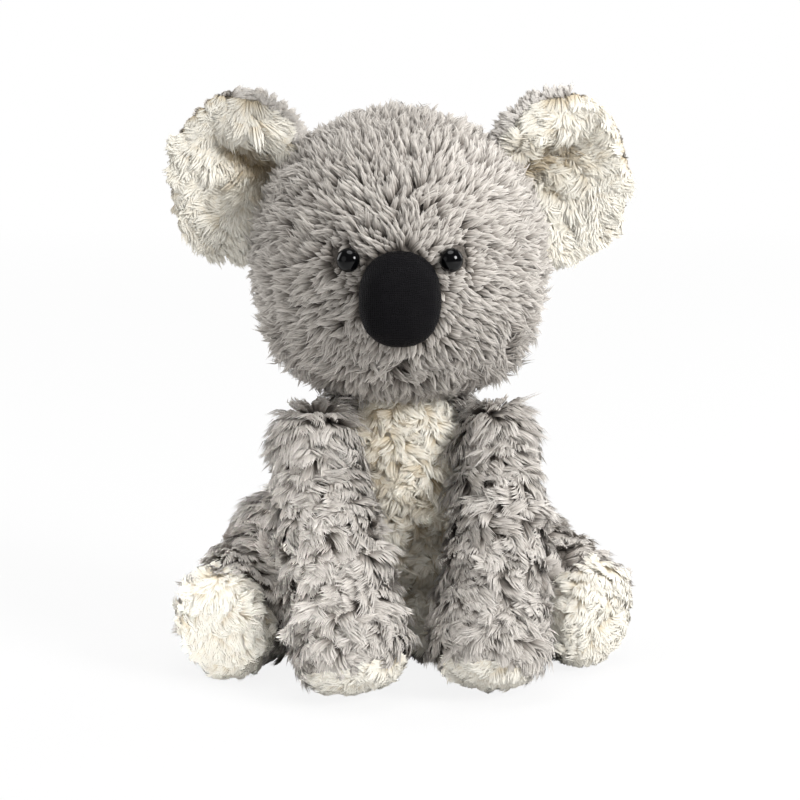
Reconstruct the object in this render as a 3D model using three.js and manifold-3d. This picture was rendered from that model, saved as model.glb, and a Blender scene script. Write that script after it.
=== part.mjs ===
// Sitting plush koala: sewn plush covers over fibre stuffing, moulded eyes and a weighted seat.
// Millimetres, +Z up. The toy faces -Y, its own left is +X, and its seat rests on z = 0.
import * as THREE from 'three';
import { mergeVertices } from 'three/addons/utils/BufferGeometryUtils.js';
import Module from 'manifold-3d';

const wasm = await Module();
wasm.setup();

// Cloth and fits
const plushThickness = 7; // backing with its pile lying down
const noseClothThickness = 1.6;
const fit = 0.3; // gap between neighbouring pieces
const turnClearance = 1.4; // gap to a facetted neighbour that turns past
const seamClearance = 0.4; // gap along an ear's seam
const ballClearance = 0.5; // gap round the ball of the neck
const settle = 2.5; // how far soft feet flatten on the floor

// Head
const headWidth = 152;
const headDepth = 144;
const headHeight = 152;
const headForward = 8;
const headLift = 211; // middle of the head above the floor
const cheekFullness = 0.26; // how much squarer the head is below its middle
const cheekStart = 0.4; // share of the reach above the middle where it begins
const cheekFull = 0.55; // share of the reach below the middle where it is complete
const chinStart = 0.7; // share of the reach below the middle where it eases off
const muzzleReach = 5;
const muzzleSpan = 84;
const headTurn = -7; // degrees about +Z, the way the head looks at rest

// Neck
const neckPivotLift = 188;
const neckBallRadius = 30;
const neckStemRadius = 24;
const neckStemDepth = 90; // below the pivot
const neckOpeningRadius = 36;

// Nose
const noseWidth = 41;
const noseHeight = 48;
const noseReach = 15; // from its seat to its tip
const noseSink = 4; // depth of its seat below the tips of the pile
const noseDrop = 12; // middle of the nose below the middle of the head
const noseSquareness = 0.9; // 1 is an ellipse, less is squarer
const noseBluntness = 0.8; // 1 is a round dome, less is flatter

// Eyes
const eyeDiameter = 12;
const eyeDome = 5;
const eyeRim = 1.2;
const eyeSink = 3; // depth of the rim's seat below the tips of the pile
const eyeSpacing = 52;
const eyeRise = 6.5; // middle of the eyes above the middle of the head
const shankDiameter = 4;
const shankEnd = 2.5; // shank beyond its washer
const washerDiameter = 15;
const washerThickness = 2;
const washerSeat = 0.6; // how far the washer lies inside the curved cover

// Ears
const earLength = 90; // along the seam
const earWidth = 73; // away from the head
const earThickness = 15;
const earAngle = 28; // degrees above level to the middle of the ear
const earTilt = 11; // degrees that the ear's length leans inwards
const earStandOff = 15; // middle of the ear outside the head
const earBack = 10; // behind the middle of the head
const cupStart = 0.3; // share of the ear that stays flat round its middle
const cupRadius = 55; // bend of the whole rim towards the front
const curlRadius = 30; // bend of the upper rim, which rolls forward
const curlAngle = 116; // degrees from outwards to the middle of the roll
const curlSpread = 50; // degrees to each side of it

// Body
const hipWidth = 130;
const hipDepth = 124;
const hipLift = 46;
const hipBack = 12; // middle of the hips behind the origin
const bodyTop = 158;
const bodySag = 62; // depth of the round seat below the hips before it flattens
const bodyLean = 22; // how far the neck end leans forward
const bellyTopWidth = 92;
const bellyWidth = 78;
const bellyLow = 12;

// Weighted seat
const bagWidth = 84;
const bagDepth = 80;
const bagReach = 18; // above and below its widest ring
const bagMiddle = 12; // widest ring above the floor of the cover
const bagSquareness = 0.7;

// Arms
const shoulderLift = 115;
const shoulderForward = 28;
const shoulderInset = 4.5; // inside the body's flank
const shoulderWidth = 47;
const elbowLift = 80;
const elbowForward = 63;
const elbowSpread = 43;
const elbowWidth = 56;
const elbowDepth = 53;
const pawForward = 92;
const pawWidth = 63;
const pawDepth = 60;
const pawGap = 2; // from a paw to the middle line
const pawReach = 25; // rounded end beyond the middle of the paw
const pawSoleRise = 17;
const pawBluntness = 0.75;

// Legs
const hipInset = 15; // hip joint inside the body's flank
const thighWidth = 92;
const kneeWidth = 73;
const kneeShare = 0.5; // of the way from hip to foot
const legReach = 72; // hip joint to the middle of the foot
const legSplay = 38; // degrees outwards from straight ahead
const footWidth = 58;
const footHeight = 65;
const footReach = 17; // rounded end beyond the middle of the foot
const footSoleRise = 12;
const footBluntness = 0.6;

// Turning ranges in degrees
const headTurnRange = [-25, 25];
const headNodRange = [-12, 6];
const armSwingRange = [0, 45];
const legSpreadRange = [0, 25];
const earFoldRange = [-20, 30];
const turnStep = 15;

// Folds between the tiers in which the long pile of the body and limbs lies
const foldSpacing = 22;
const foldDepth = 3.2;
const foldInset = 0.4; // how far the tiers themselves stay inside the plain form
const foldWander = 6; // how far a fold strays along the form as it goes round
const limbWaves = 3; // times it strays in one round
const bodyWaves = 5;
const foldPhase = 0.1; // share of a tier where it is deepest
const foldFade = 0.15; // share of a limb's length at each end without folds
const foldFloor = 30; // height over which the body's folds fade out at the seat

// Facets
const foldRings = 4; // to each tier
const headSides = 22;
const headRings = 12;
const bodySides = 20;
const bodyRings = 12;
const limbSides = 16;
const limbRings = 7;
const capRings = 3; // rounded ends of the limbs
const liningSides = 10; // inner faces and stuffing
const liningRings = 6;
const headLiningSides = 14;
const headLiningRings = 8;
const bodyLiningSides = 12;
const earSides = 22;
const earRings = 4;
const earRimShare = 6 / 7; // last ring before the edge
const noseSides = 14;
const noseRings = 3;
const turnedSides = 14; // lathe-turned pieces
const neckSides = 24;
const ballRings = 10;
const eyeRings = 5;
const bellyCurveSteps = 5;
const cutSpan = 600; // size of the cutting blocks, larger than the toy

const radians = THREE.MathUtils.degToRad;
const xAxis = new THREE.Vector3(1, 0, 0);
const yAxis = new THREE.Vector3(0, 1, 0);
const zAxis = new THREE.Vector3(0, 0, 1);

// Six times the signed volume inside triangles, positive when they face outwards
function facing(points, index) {
  let sum = 0;
  for (let corner = 0; corner < index.length; corner += 3) {
    const [a, b, c] = [0, 1, 2].map((step) => points[index[corner + step]]);
    sum += a.dot(b.clone().cross(c));
  }
  return sum;
}

// Joins rings of points into one closed skin with a point at each end
function skin(startPoint, rings, endPoint) {
  const sides = rings[0].length;
  const points = [startPoint, ...rings.flat(), endPoint];
  const at = (ring, side) => 1 + ring * sides + (side % sides);
  const lastRing = rings.length - 1;
  const index = [];
  for (let side = 0; side < sides; side += 1) {
    index.push(0, at(0, side + 1), at(0, side));
    for (let ring = 0; ring < lastRing; ring += 1) {
      index.push(at(ring, side), at(ring, side + 1), at(ring + 1, side));
      index.push(at(ring, side + 1), at(ring + 1, side + 1), at(ring + 1, side));
    }
    index.push(points.length - 1, at(lastRing, side), at(lastRing, side + 1));
  }
  const geometry = new THREE.BufferGeometry().setFromPoints(points);
  geometry.setIndex(facing(points, index) < 0 ? index.reverse() : index);
  return geometry;
}

// A closed geometry as a solid that can be joined and cut
function solid(geometry) {
  const bare = geometry.clone();
  bare.deleteAttribute('normal');
  bare.deleteAttribute('uv');
  const merged = mergeVertices(bare, 1e-5);
  const vertProperties = merged.attributes.position.array;
  const triVerts = new Uint32Array(merged.index.array);
  return new wasm.Manifold(new wasm.Mesh({ numProp: 3, vertProperties, triVerts }));
}

function geometryOf(body) {
  const mesh = body.getMesh();
  const geometry = new THREE.BufferGeometry();
  geometry.setAttribute('position', new THREE.BufferAttribute(mesh.vertProperties, 3));
  geometry.setIndex(new THREE.BufferAttribute(mesh.triVerts, 1));
  return geometry;
}

function turnAbout(pivot, axis, degrees) {
  const there = new THREE.Matrix4().makeTranslation(pivot);
  const turn = new THREE.Matrix4().makeRotationAxis(axis, radians(degrees));
  const back = new THREE.Matrix4().makeTranslation(pivot.clone().negate());
  return there.multiply(turn).multiply(back);
}

function moved(body, matrix) {
  return solid(geometryOf(body).applyMatrix4(matrix));
}

// Angles across a range, with its ends and without rest
function stepsAcross([low, high]) {
  const count = Math.ceil((high - low) / turnStep);
  const angles = Array.from({ length: count + 1 }, (_, k) => low + ((high - low) * k) / count);
  return angles.filter((angle) => Math.abs(angle) > 1e-6);
}

// Cuts away what would meet a neighbour while the piece turns through its range
function clearWhileTurning(piece, joint, restTool, turnTool) {
  return stepsAcross(joint.range).reduce(
    (left, angle) => left.subtract(moved(turnTool, turnAbout(joint.pivot, joint.axis, -angle))),
    piece.subtract(restTool),
  );
}

// A block that fills everything beyond a plane
function beyond(point, direction) {
  const block = new THREE.BoxGeometry(cutSpan, cutSpan, cutSpan);
  const turn = new THREE.Quaternion().setFromUnitVectors(zAxis, direction);
  block.translate(0, 0, cutSpan / 2).applyQuaternion(turn);
  return solid(block.translate(point.x, point.y, point.z));
}

function aboveFloor(body, height) {
  return body.subtract(beyond(new THREE.Vector3(0, 0, height), zAxis.clone().negate()));
}

// A cylinder along an axis from one height to another above a point
function rod(point, direction, radius, low, high) {
  const cylinder = new THREE.CylinderGeometry(radius, radius, high - low, turnedSides);
  cylinder.translate(0, (low + high) / 2, 0);
  cylinder.applyQuaternion(new THREE.Quaternion().setFromUnitVectors(yAxis, direction));
  return solid(cylinder.translate(point.x, point.y, point.z));
}

function turnedPiece(profile, point, direction, sideCount = turnedSides) {
  const outline = profile.map(([radius, height]) => new THREE.Vector2(radius, height));
  const lathe = new THREE.LatheGeometry(outline, sideCount);
  lathe.applyQuaternion(new THREE.Quaternion().setFromUnitVectors(yAxis, direction));
  return solid(lathe.translate(point.x, point.y, point.z));
}

// Depth of the folds at a distance along a form, the angle round it times its waves
function foldAt(distance, wave) {
  const tier = (distance + foldWander * Math.sin(wave)) / foldSpacing;
  return foldInset + (foldDepth / 2) * (1 + Math.cos(2 * Math.PI * (tier - foldPhase)));
}

// Latitudes of rings at even angles
function evenAngles(count) {
  return Array.from({ length: count }, (_, ring) => Math.PI * ((ring + 1) / (count + 1) - 0.5));
}

// An egg with its own reach up and down. A lower power makes that half squarer, and shift bends it.
function egg(form, grow, sides, latitudes) {
  const reachOf = (rise) => (rise > 0 ? form.reachUp : form.reachDown) + grow;
  const place = (latitude, longitude) => {
    const rise = Math.sin(latitude);
    const height = reachOf(rise) * rise;
    const round = Math.cos(latitude) ** form.power(rise);
    const size = grow - form.fold(height, longitude);
    const point = new THREE.Vector3(
      (form.halfWidth + size) * round * Math.sin(longitude),
      -(form.halfDepth + size) * round * Math.cos(longitude),
      height,
    );
    return form.shift(point);
  };
  const longitudes = Array.from({ length: sides }, (_, side) => (2 * Math.PI * side) / sides);
  const rings = latitudes.map((latitude) => longitudes.map((longitude) => place(latitude, longitude)));
  const pole = (rise) => form.shift(new THREE.Vector3(0, 0, reachOf(rise) * rise));
  return skin(pole(-1), rings, pole(1));
}

// Head surface, in the head's own frame
const headMiddle = new THREE.Vector3(0, -headForward, headLift);
const headPlace = new THREE.Matrix4()
  .makeTranslation(headMiddle)
  .multiply(new THREE.Matrix4().makeRotationZ(radians(headTurn)));

const headForm = {
  halfWidth: headWidth / 2,
  halfDepth: headDepth / 2,
  reachUp: headHeight / 2,
  reachDown: headHeight / 2,
  fold: () => 0,
  power: (rise) => {
    const below = THREE.MathUtils.smoothstep(-rise, -cheekStart, cheekFull);
    const under = THREE.MathUtils.smoothstep(-rise, chinStart, 1);
    return 1 - cheekFullness * below * (1 - under / 2);
  },
  shift: (point) => {
    const front = Math.max(0, -point.y / (headDepth / 2));
    const apart = Math.hypot(point.x, point.z + noseDrop) / (muzzleSpan / 2);
    point.y -= muzzleReach * front * Math.exp(-apart * apart);
    return point;
  },
};

function headEgg(grow) {
  return solid(egg(headForm, grow, headSides, evenAngles(headRings)).applyMatrix4(headPlace));
}

function headLining(grow) {
  return solid(egg(headForm, grow, headLiningSides, evenAngles(headLiningRings)).applyMatrix4(headPlace));
}

// The point on the face straight in front of a place, and the way the face looks there
function onFace(x, z) {
  const rise = z / (headHeight / 2);
  const round = Math.sqrt(1 - rise * rise) ** headForm.power(rise);
  const across = x / (headForm.halfWidth * round);
  const point = new THREE.Vector3(x, -headForm.halfDepth * round * Math.sqrt(1 - across * across), z);
  const outward = new THREE.Vector3(
    point.x / headForm.halfWidth ** 2,
    point.y / headForm.halfDepth ** 2,
    point.z / headForm.reachUp ** 2,
  );
  outward.normalize().applyAxisAngle(zAxis, radians(headTurn));
  return { point: headForm.shift(point).applyMatrix4(headPlace), outward };
}

// Body surface
const bodyForm = {
  halfWidth: hipWidth / 2,
  halfDepth: hipDepth / 2,
  reachUp: bodyTop - hipLift,
  reachDown: bodySag,
  fold: () => 0,
  power: () => 1,
  shift: (point) => {
    const height = Math.max(0, point.z) / (bodyTop - hipLift);
    return point.add(new THREE.Vector3(0, hipBack - bodyLean * height * height, hipLift));
  },
};

function bodyEgg(grow, sides = bodySides, rings = bodyRings) {
  return solid(egg(bodyForm, grow, sides, evenAngles(rings)));
}

// The outside of the body, with its folds and rings at even heights
function foldedBody() {
  const fold = (height, longitude) => {
    const lift = height + hipLift;
    const folded = foldAt(-lift, bodyWaves * longitude);
    return THREE.MathUtils.lerp(foldInset, folded, THREE.MathUtils.smoothstep(lift, 0, foldFloor));
  };
  const count = Math.round((foldRings * bodyTop) / foldSpacing);
  const heights = Array.from({ length: count }, (_, k) => (bodyTop * k) / count - hipLift);
  const latitudes = heights.map((h) => Math.asin(h / (h > 0 ? bodyForm.reachUp : bodyForm.reachDown)));
  return solid(egg({ ...bodyForm, fold }, 0, bodySides, latitudes));
}

function flankAt(height) {
  const rise = (height - hipLift) / (height > hipLift ? bodyForm.reachUp : bodyForm.reachDown);
  return bodyForm.halfWidth * Math.sqrt(1 - rise * rise);
}

// A stuffed limb: a ball at the root, rings along a curve and a blunt rounded tip
function limb(form, grow, sides, ringCount, folded = false) {
  const curve = new THREE.CatmullRomCurve3(form.spine);
  const length = curve.getLength();
  const foldIn = (share, angle) => {
    const fade = THREE.MathUtils.smoothstep(Math.min(share, 1 - share), 0, foldFade);
    return folded ? foldAt(share * length, limbWaves * angle) * fade : 0;
  };
  const sizes = new THREE.SplineCurve(form.sizes.map(([width, depth]) => new THREE.Vector2(width, depth)));
  const ringAt = (share, along, round) => {
    const tangent = curve.getTangent(share);
    const across = form.sideways.clone().addScaledVector(tangent, -form.sideways.dot(tangent)).normalize();
    const up = tangent.clone().cross(across);
    const size = sizes.getPoint(share);
    const middle = curve.getPoint(share).addScaledVector(tangent, along);
    return Array.from({ length: sides }, (_, side) => {
      const angle = (2 * Math.PI * side) / sides;
      const more = grow - foldIn(share, angle);
      const point = middle.clone();
      point.addScaledVector(across, (size.x / 2 + more) * round * Math.cos(angle));
      return point.addScaledVector(up, (size.y / 2 + more) * round * Math.sin(angle));
    });
  };
  const rootReach = form.sizes[0][0] / 2 + grow;
  const tipReach = form.tipReach + grow;
  const capAngles = Array.from({ length: capRings }, (_, k) => (((k + 1) / (capRings + 1)) * Math.PI) / 2);
  const root = capAngles.toReversed().map((a) => ringAt(0, -rootReach * Math.sin(a), Math.cos(a)));
  const stem = Array.from({ length: ringCount + 1 }, (_, k) => ringAt(k / ringCount, 0, 1));
  const tip = capAngles.map((a) => ringAt(1, tipReach * Math.sin(a), Math.cos(a) ** form.tipPower));
  const start = curve.getPoint(0).addScaledVector(curve.getTangent(0), -rootReach);
  const end = curve.getPoint(1).addScaledVector(curve.getTangent(1), tipReach);
  return solid(skin(start, [...root, ...stem, ...tip], end));
}

// Splits a limb into its cover, its sole and its stuffing, all cut back by the same trim
function limbPieces(form, soleRise, trim) {
  const curve = new THREE.CatmullRomCurve3(form.spine);
  const outerRings = Math.round((foldRings * curve.getLength()) / foldSpacing);
  const outside = limb(form, 0, limbSides, outerRings, true);
  const inside = limb(form, -plushThickness, liningSides, limbRings);
  const filling = limb(form, -plushThickness - fit, liningSides, limbRings);
  const shell = trim(aboveFloor(outside, 0).subtract(aboveFloor(inside, plushThickness)));
  const way = curve.getTangent(1);
  const seam = curve.getPoint(1).addScaledVector(way, form.tipReach - soleRise);
  return {
    cover: shell.subtract(beyond(seam.clone().addScaledVector(way, -fit / 2), way)),
    sole: shell.intersect(beyond(seam.clone().addScaledVector(way, fit / 2), way)),
    stuffing: trim(aboveFloor(filling, plushThickness + fit)),
  };
}

// Where the head can be: turned and nodded to every corner of its range
const neckPivot = new THREE.Vector3(0, -headForward, neckPivotLift);
const nodAxis = xAxis.clone().applyAxisAngle(zAxis, radians(headTurn));
const headRest = headEgg(fit);
const headLoose = headEgg(turnClearance);
const headSweep = [0, ...stepsAcross(headTurnRange)].reduce((outer, turn) => {
  const turned = turnAbout(neckPivot, zAxis, turn);
  return [0, ...stepsAcross(headNodRange)].reduce((inner, nod) => {
    const place = turned.clone().multiply(turnAbout(neckPivot, nodAxis, nod));
    return inner.add(moved(headLoose, place));
  }, outer);
}, headLoose);

// Neck roll: a packed ball that carries the head, on a stem that stands in the body
function neckRoll(grow) {
  const waist = -Math.sqrt(neckBallRadius ** 2 - neckStemRadius ** 2);
  const start = Math.atan2(waist, neckStemRadius);
  const ball = Array.from({ length: ballRings + 1 }, (_, k) => {
    const angle = start + ((Math.PI / 2 - start) * k) / ballRings;
    return [(neckBallRadius + grow) * Math.cos(angle), (neckBallRadius + grow) * Math.sin(angle)];
  });
  ball[ballRings][0] = 0;
  const foot = -neckStemDepth - grow;
  const profile = [[0, foot], [neckStemRadius + grow, foot], ...ball];
  return turnedPiece(profile, neckPivot, zAxis, neckSides);
}

// Weighted pouch, flat on the floor of the body cover
function beanBag(grow) {
  const form = {
    halfWidth: bagWidth / 2,
    halfDepth: bagDepth / 2,
    reachUp: bagReach,
    reachDown: bagReach,
    fold: () => 0,
    power: () => bagSquareness,
    shift: (point) => point.add(new THREE.Vector3(0, hipBack, plushThickness + bagMiddle)),
  };
  const pouch = solid(egg(form, grow, liningSides, evenAngles(liningRings)));
  return aboveFloor(pouch, plushThickness + fit - grow);
}

// Body cover, belly panel and stuffing
function bellyPrism(grow) {
  const outline = new THREE.Shape();
  outline.moveTo(-bellyTopWidth / 2 - grow, bodyTop);
  outline.lineTo(-bellyWidth / 2 - grow, hipLift);
  outline.quadraticCurveTo(-bellyWidth / 2 - grow, bellyLow - grow, 0, bellyLow - grow);
  outline.quadraticCurveTo(bellyWidth / 2 + grow, bellyLow - grow, bellyWidth / 2 + grow, hipLift);
  outline.lineTo(bellyTopWidth / 2 + grow, bodyTop);
  outline.closePath();
  const settings = { depth: cutSpan, bevelEnabled: false, curveSegments: bellyCurveSteps };
  const prism = new THREE.ExtrudeGeometry(outline, settings);
  return solid(prism.rotateX(Math.PI / 2));
}

const bodyShell = aboveFloor(foldedBody(), 0)
  .subtract(aboveFloor(bodyEgg(-plushThickness, bodyLiningSides, liningRings), plushThickness))
  .subtract(headRest)
  .subtract(headSweep)
  .subtract(neckRoll(fit));
const bodyCover = bodyShell.subtract(bellyPrism(fit / 2));
const bellyPanel = bodyShell.intersect(bellyPrism(-fit / 2));
const bodyStuffing = aboveFloor(
  bodyEgg(-plushThickness - fit, bodyLiningSides, liningRings),
  plushThickness + fit,
)
  .subtract(headSweep)
  .subtract(neckRoll(fit))
  .subtract(beanBag(fit));

// Nose: a domed pad whose back follows the face
const noseSeat = onFace(0, -noseDrop);

function noseDome(grow) {
  const rounded = (value) => Math.sign(value) * Math.abs(value) ** noseSquareness;
  const reach = noseReach - noseSink + grow;
  const depth = noseSink + muzzleReach + grow;
  const place = (latitude, longitude) => {
    const round = Math.cos(latitude) ** noseBluntness;
    const rise = Math.sin(latitude);
    return new THREE.Vector3(
      (noseWidth / 2 + grow) * round * rounded(Math.sin(longitude)),
      -(rise > 0 ? reach : depth) * rise,
      (noseHeight / 2 + grow) * round * rounded(Math.cos(longitude)),
    );
  };
  const rings = Array.from({ length: 2 * noseRings - 1 }, (_, ring) => {
    const latitude = (Math.PI / 2) * ((ring + 1) / noseRings - 1);
    return Array.from({ length: noseSides }, (_, side) => place(latitude, (2 * Math.PI * side) / noseSides));
  });
  const dome = skin(new THREE.Vector3(0, depth, 0), rings, new THREE.Vector3(0, -reach, 0));
  dome.rotateZ(radians(headTurn)).translate(noseSeat.point.x, noseSeat.point.y, noseSeat.point.z);
  return solid(dome);
}

const noseSeatFace = headEgg(-noseSink);
const noseCover = noseDome(0).subtract(noseDome(-noseClothThickness)).subtract(noseSeatFace);
const noseStuffing = noseDome(-noseClothThickness - fit).subtract(noseSeatFace);
const noseRecess = noseDome(fit).subtract(headEgg(-noseSink - fit));

// Eyes: a dome on a shank through the cover, held by a washer inside
const sides = [
  { name: 'left', sign: 1 },
  { name: 'right', sign: -1 },
];

function eyePieces(sign) {
  const { point, outward } = onFace((sign * eyeSpacing) / 2, eyeRise);
  const rim = eyeDiameter / 2;
  const shank = shankDiameter / 2;
  const washerTop = -plushThickness - washerSeat;
  const washerFoot = washerTop - washerThickness;
  const shankFoot = washerFoot - shankEnd;
  const dome = Array.from({ length: eyeRings + 1 }, (_, k) => {
    const angle = (Math.PI / 2) * (1 - k / eyeRings);
    return [k === 0 ? 0 : rim * Math.cos(angle), eyeRim - eyeSink + eyeDome * Math.sin(angle)];
  });
  const eye = [...dome, [rim, -eyeSink], [shank, -eyeSink], [shank, shankFoot], [0, shankFoot]];
  const bore = shank + fit;
  const rimOut = washerDiameter / 2;
  const washer = [
    [bore, washerTop], [rimOut, washerTop], [rimOut, washerFoot], [bore, washerFoot], [bore, washerTop],
  ];
  const socket = rod(point, outward, rim + fit, -eyeSink - fit, eyeDome + eyeRim);
  const washerBed = rod(point, outward, rimOut + fit, shankFoot, washerTop + fit);
  return {
    eye: turnedPiece(eye.toReversed(), point, outward),
    washer: turnedPiece(washer.toReversed(), point, outward),
    coverCut: socket.add(washerBed).add(rod(point, outward, bore, shankFoot, 0)),
    stuffingCut: rod(point, outward, rimOut + fit, shankFoot - fit, 0),
  };
}

const eyes = sides.map(({ sign }) => eyePieces(sign));
const neckOpening = rod(neckPivot, zAxis, neckOpeningRadius, -neckStemDepth, 0);
const headShell = headEgg(0).subtract(headLining(-plushThickness));
const headCover = eyes.reduce(
  (left, { coverCut }) => left.subtract(coverCut),
  headShell.subtract(neckOpening).subtract(noseRecess),
);
const headStuffing = eyes.reduce(
  (left, { stuffingCut }) => left.subtract(stuffingCut),
  headLining(-plushThickness - fit).subtract(neckOpening).subtract(neckRoll(ballClearance)),
);

// Ears: two plush layers, cupped, with the upper rim rolled forward
function earRoot(standOff) {
  const [level, rise] = [Math.cos(radians(earAngle)), Math.sin(radians(earAngle))];
  const headRadius = Math.hypot(headWidth * level, headHeight * rise) / 2 + standOff;
  return new THREE.Vector3(headRadius * level, earBack, headRadius * rise);
}

function earLayer(sign, face) {
  const outwards = new THREE.Vector3(Math.cos(radians(earTilt)), 0, Math.sin(radians(earTilt)));
  const upwards = new THREE.Vector3(-Math.sin(radians(earTilt)), 0, Math.cos(radians(earTilt)));
  const middle = earRoot(earStandOff);
  const place = (share, longitude, height) => {
    const [across, along] = [Math.cos(longitude), Math.sin(longitude)];
    const rim = 0.5 / Math.hypot(across / earWidth, along / earLength);
    const reach = share * rim;
    const flat = cupStart * rim;
    const off = (longitude - radians(curlAngle) + 3 * Math.PI) % (2 * Math.PI) - Math.PI;
    const roll = Math.exp(-((off / radians(curlSpread)) ** 2));
    const bend = 1 / cupRadius + roll * (1 / curlRadius - 1 / cupRadius);
    const turn = bend * Math.max(0, reach - flat);
    const radial = Math.min(reach, flat) + Math.sin(turn) / bend - height * Math.sin(turn);
    const forward = (1 - Math.cos(turn)) / bend + height * Math.cos(turn);
    const point = middle.clone().addScaledVector(yAxis, -forward);
    point.addScaledVector(outwards, radial * across);
    point.addScaledVector(upwards, radial * along);
    point.x *= sign;
    return point;
  };
  const ring = (share, puff) => {
    const height = face * (fit / 2 + puff * (earThickness / 2) * Math.sqrt(1 - share ** 4));
    const longitudes = Array.from({ length: earSides }, (_, side) => (2 * Math.PI * side) / earSides);
    return longitudes.map((longitude) => place(share, longitude, height));
  };
  const shares = Array.from({ length: earRings }, (_, k) => (earRimShare * (k + 1)) / earRings);
  const inner = shares.map((share) => ring(share, 0));
  const outer = shares.toReversed().map((share) => ring(share, 1));
  const start = place(0, 0, (face * fit) / 2);
  const end = place(0, 0, face * (fit / 2 + earThickness / 2));
  return solid(skin(start, [...inner, ring(1, 0), ...outer], end).applyMatrix4(headPlace));
}

function earJoint(sign) {
  const pivot = earRoot(0);
  pivot.x *= sign;
  const lean = radians(earAngle);
  const axis = new THREE.Vector3(Math.sin(lean), 0, -sign * Math.cos(lean));
  axis.applyAxisAngle(zAxis, radians(headTurn));
  return { pivot: pivot.applyMatrix4(headPlace), axis, range: earFoldRange };
}

function earPieces(sign) {
  const trim = (piece) => clearWhileTurning(piece, earJoint(sign), headRest, headEgg(seamClearance));
  return { back: trim(earLayer(sign, -1)), lining: trim(earLayer(sign, 1)) };
}

// Arms, which swing up at the shoulder seams
function armForm(sign) {
  const shoulderSpread = flankAt(shoulderLift) - shoulderInset;
  return {
    spine: [
      new THREE.Vector3(sign * shoulderSpread, -shoulderForward, shoulderLift),
      new THREE.Vector3(sign * elbowSpread, -elbowForward, elbowLift),
      new THREE.Vector3(sign * (pawWidth / 2 + pawGap), -pawForward, pawDepth / 2 - settle),
    ],
    sizes: [[shoulderWidth, shoulderWidth], [elbowWidth, elbowDepth], [pawWidth, pawDepth]],
    sideways: xAxis,
    tipReach: pawReach,
    tipPower: pawBluntness,
  };
}

const bodyRest = bodyEgg(fit).add(headRest);
const bodyLoose = bodyEgg(turnClearance).add(headSweep);

function armPieces(sign) {
  const form = armForm(sign);
  const joint = { pivot: form.spine[0], axis: xAxis.clone().negate(), range: armSwingRange };
  const trim = (piece) => clearWhileTurning(piece, joint, bodyRest, bodyLoose);
  return limbPieces(form, pawSoleRise, (piece) => trim(piece).subtract(headSweep));
}

// Legs, which spread at the hip seams
function legForm(sign) {
  const hipSpread = hipWidth / 2 - hipInset;
  const out = legReach * Math.sin(radians(legSplay));
  const ahead = legReach * Math.cos(radians(legSplay));
  const hip = new THREE.Vector3(sign * hipSpread, hipBack, thighWidth / 2 - settle);
  const foot = new THREE.Vector3(sign * (hipSpread + out), hipBack - ahead, footHeight / 2 - settle);
  const knee = hip.clone().lerp(foot, kneeShare);
  return {
    spine: [hip, knee, foot],
    sizes: [[thighWidth, thighWidth], [kneeWidth, kneeWidth], [footHeight, footWidth]],
    sideways: zAxis,
    tipReach: footReach,
    tipPower: footBluntness,
  };
}

function legPieces(sign) {
  const form = legForm(sign);
  const joint = { pivot: form.spine[0], axis: zAxis.clone().multiplyScalar(sign), range: legSpreadRange };
  const arm = limb(armForm(sign), fit, limbSides, limbRings);
  const trim = (piece) => clearWhileTurning(piece, joint, bodyEgg(fit), bodyEgg(turnClearance));
  return limbPieces(form, footSoleRise, (piece) => trim(piece).subtract(arm));
}

// Materials
function finish(color, roughness, metalness = 0) {
  return new THREE.MeshStandardMaterial({ color, roughness, metalness });
}

const greyPlush = () => finish('#aaa6a1', 0.95);
const creamPlush = () => finish('#eee8d8', 0.95);
const blackCloth = () => finish('#17161a', 0.85);
const blackGloss = () => finish('#060607', 0.12);
const fibre = () => finish('#f3f2ee', 1);
const whitePlastic = () => finish('#e6e4dc', 0.5);
const cotton = () => finish('#d9d2c2', 0.95);

// One group for each part of the toy that moves as one
function place(parent, name, body, material) {
  const geometry = geometryOf(body);
  geometry.computeVertexNormals();
  const mesh = new THREE.Mesh(geometry, material);
  mesh.name = name;
  parent.add(mesh);
}

function branch(parent) {
  const group = new THREE.Group();
  parent.add(group);
  return group;
}

const koala = new THREE.Group();
const torso = branch(koala);
place(torso, 'body_cover', bodyCover, greyPlush());
place(torso, 'belly_panel', bellyPanel, creamPlush());
place(torso, 'body_stuffing', bodyStuffing, fibre());
place(torso, 'bean_bag', beanBag(0), cotton());
const neck = branch(torso);
place(neck, 'neck_roll', neckRoll(0), fibre());
const head = branch(neck);
place(head, 'head_cover', headCover, greyPlush());
place(head, 'head_stuffing', headStuffing, fibre());
place(head, 'nose_cover', noseCover, blackCloth());
place(head, 'nose_stuffing', noseStuffing, fibre());

sides.forEach(({ name, sign }, k) => {
  place(head, `${name}_eye`, eyes[k].eye, blackGloss());
  place(head, `${name}_eye_washer`, eyes[k].washer, whitePlastic());
  const ear = branch(head);
  const earLayers = earPieces(sign);
  place(ear, `${name}_ear_back`, earLayers.back, greyPlush());
  place(ear, `${name}_ear_lining`, earLayers.lining, creamPlush());
  const arm = branch(torso);
  const armParts = armPieces(sign);
  place(arm, `${name}_arm_cover`, armParts.cover, greyPlush());
  place(arm, `${name}_paw_sole`, armParts.sole, creamPlush());
  place(arm, `${name}_arm_stuffing`, armParts.stuffing, fibre());
  const leg = branch(torso);
  const legParts = legPieces(sign);
  place(leg, `${name}_leg_cover`, legParts.cover, greyPlush());
  place(leg, `${name}_foot_sole`, legParts.sole, creamPlush());
  place(leg, `${name}_leg_stuffing`, legParts.stuffing, fibre());
});

export default koala;
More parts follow.
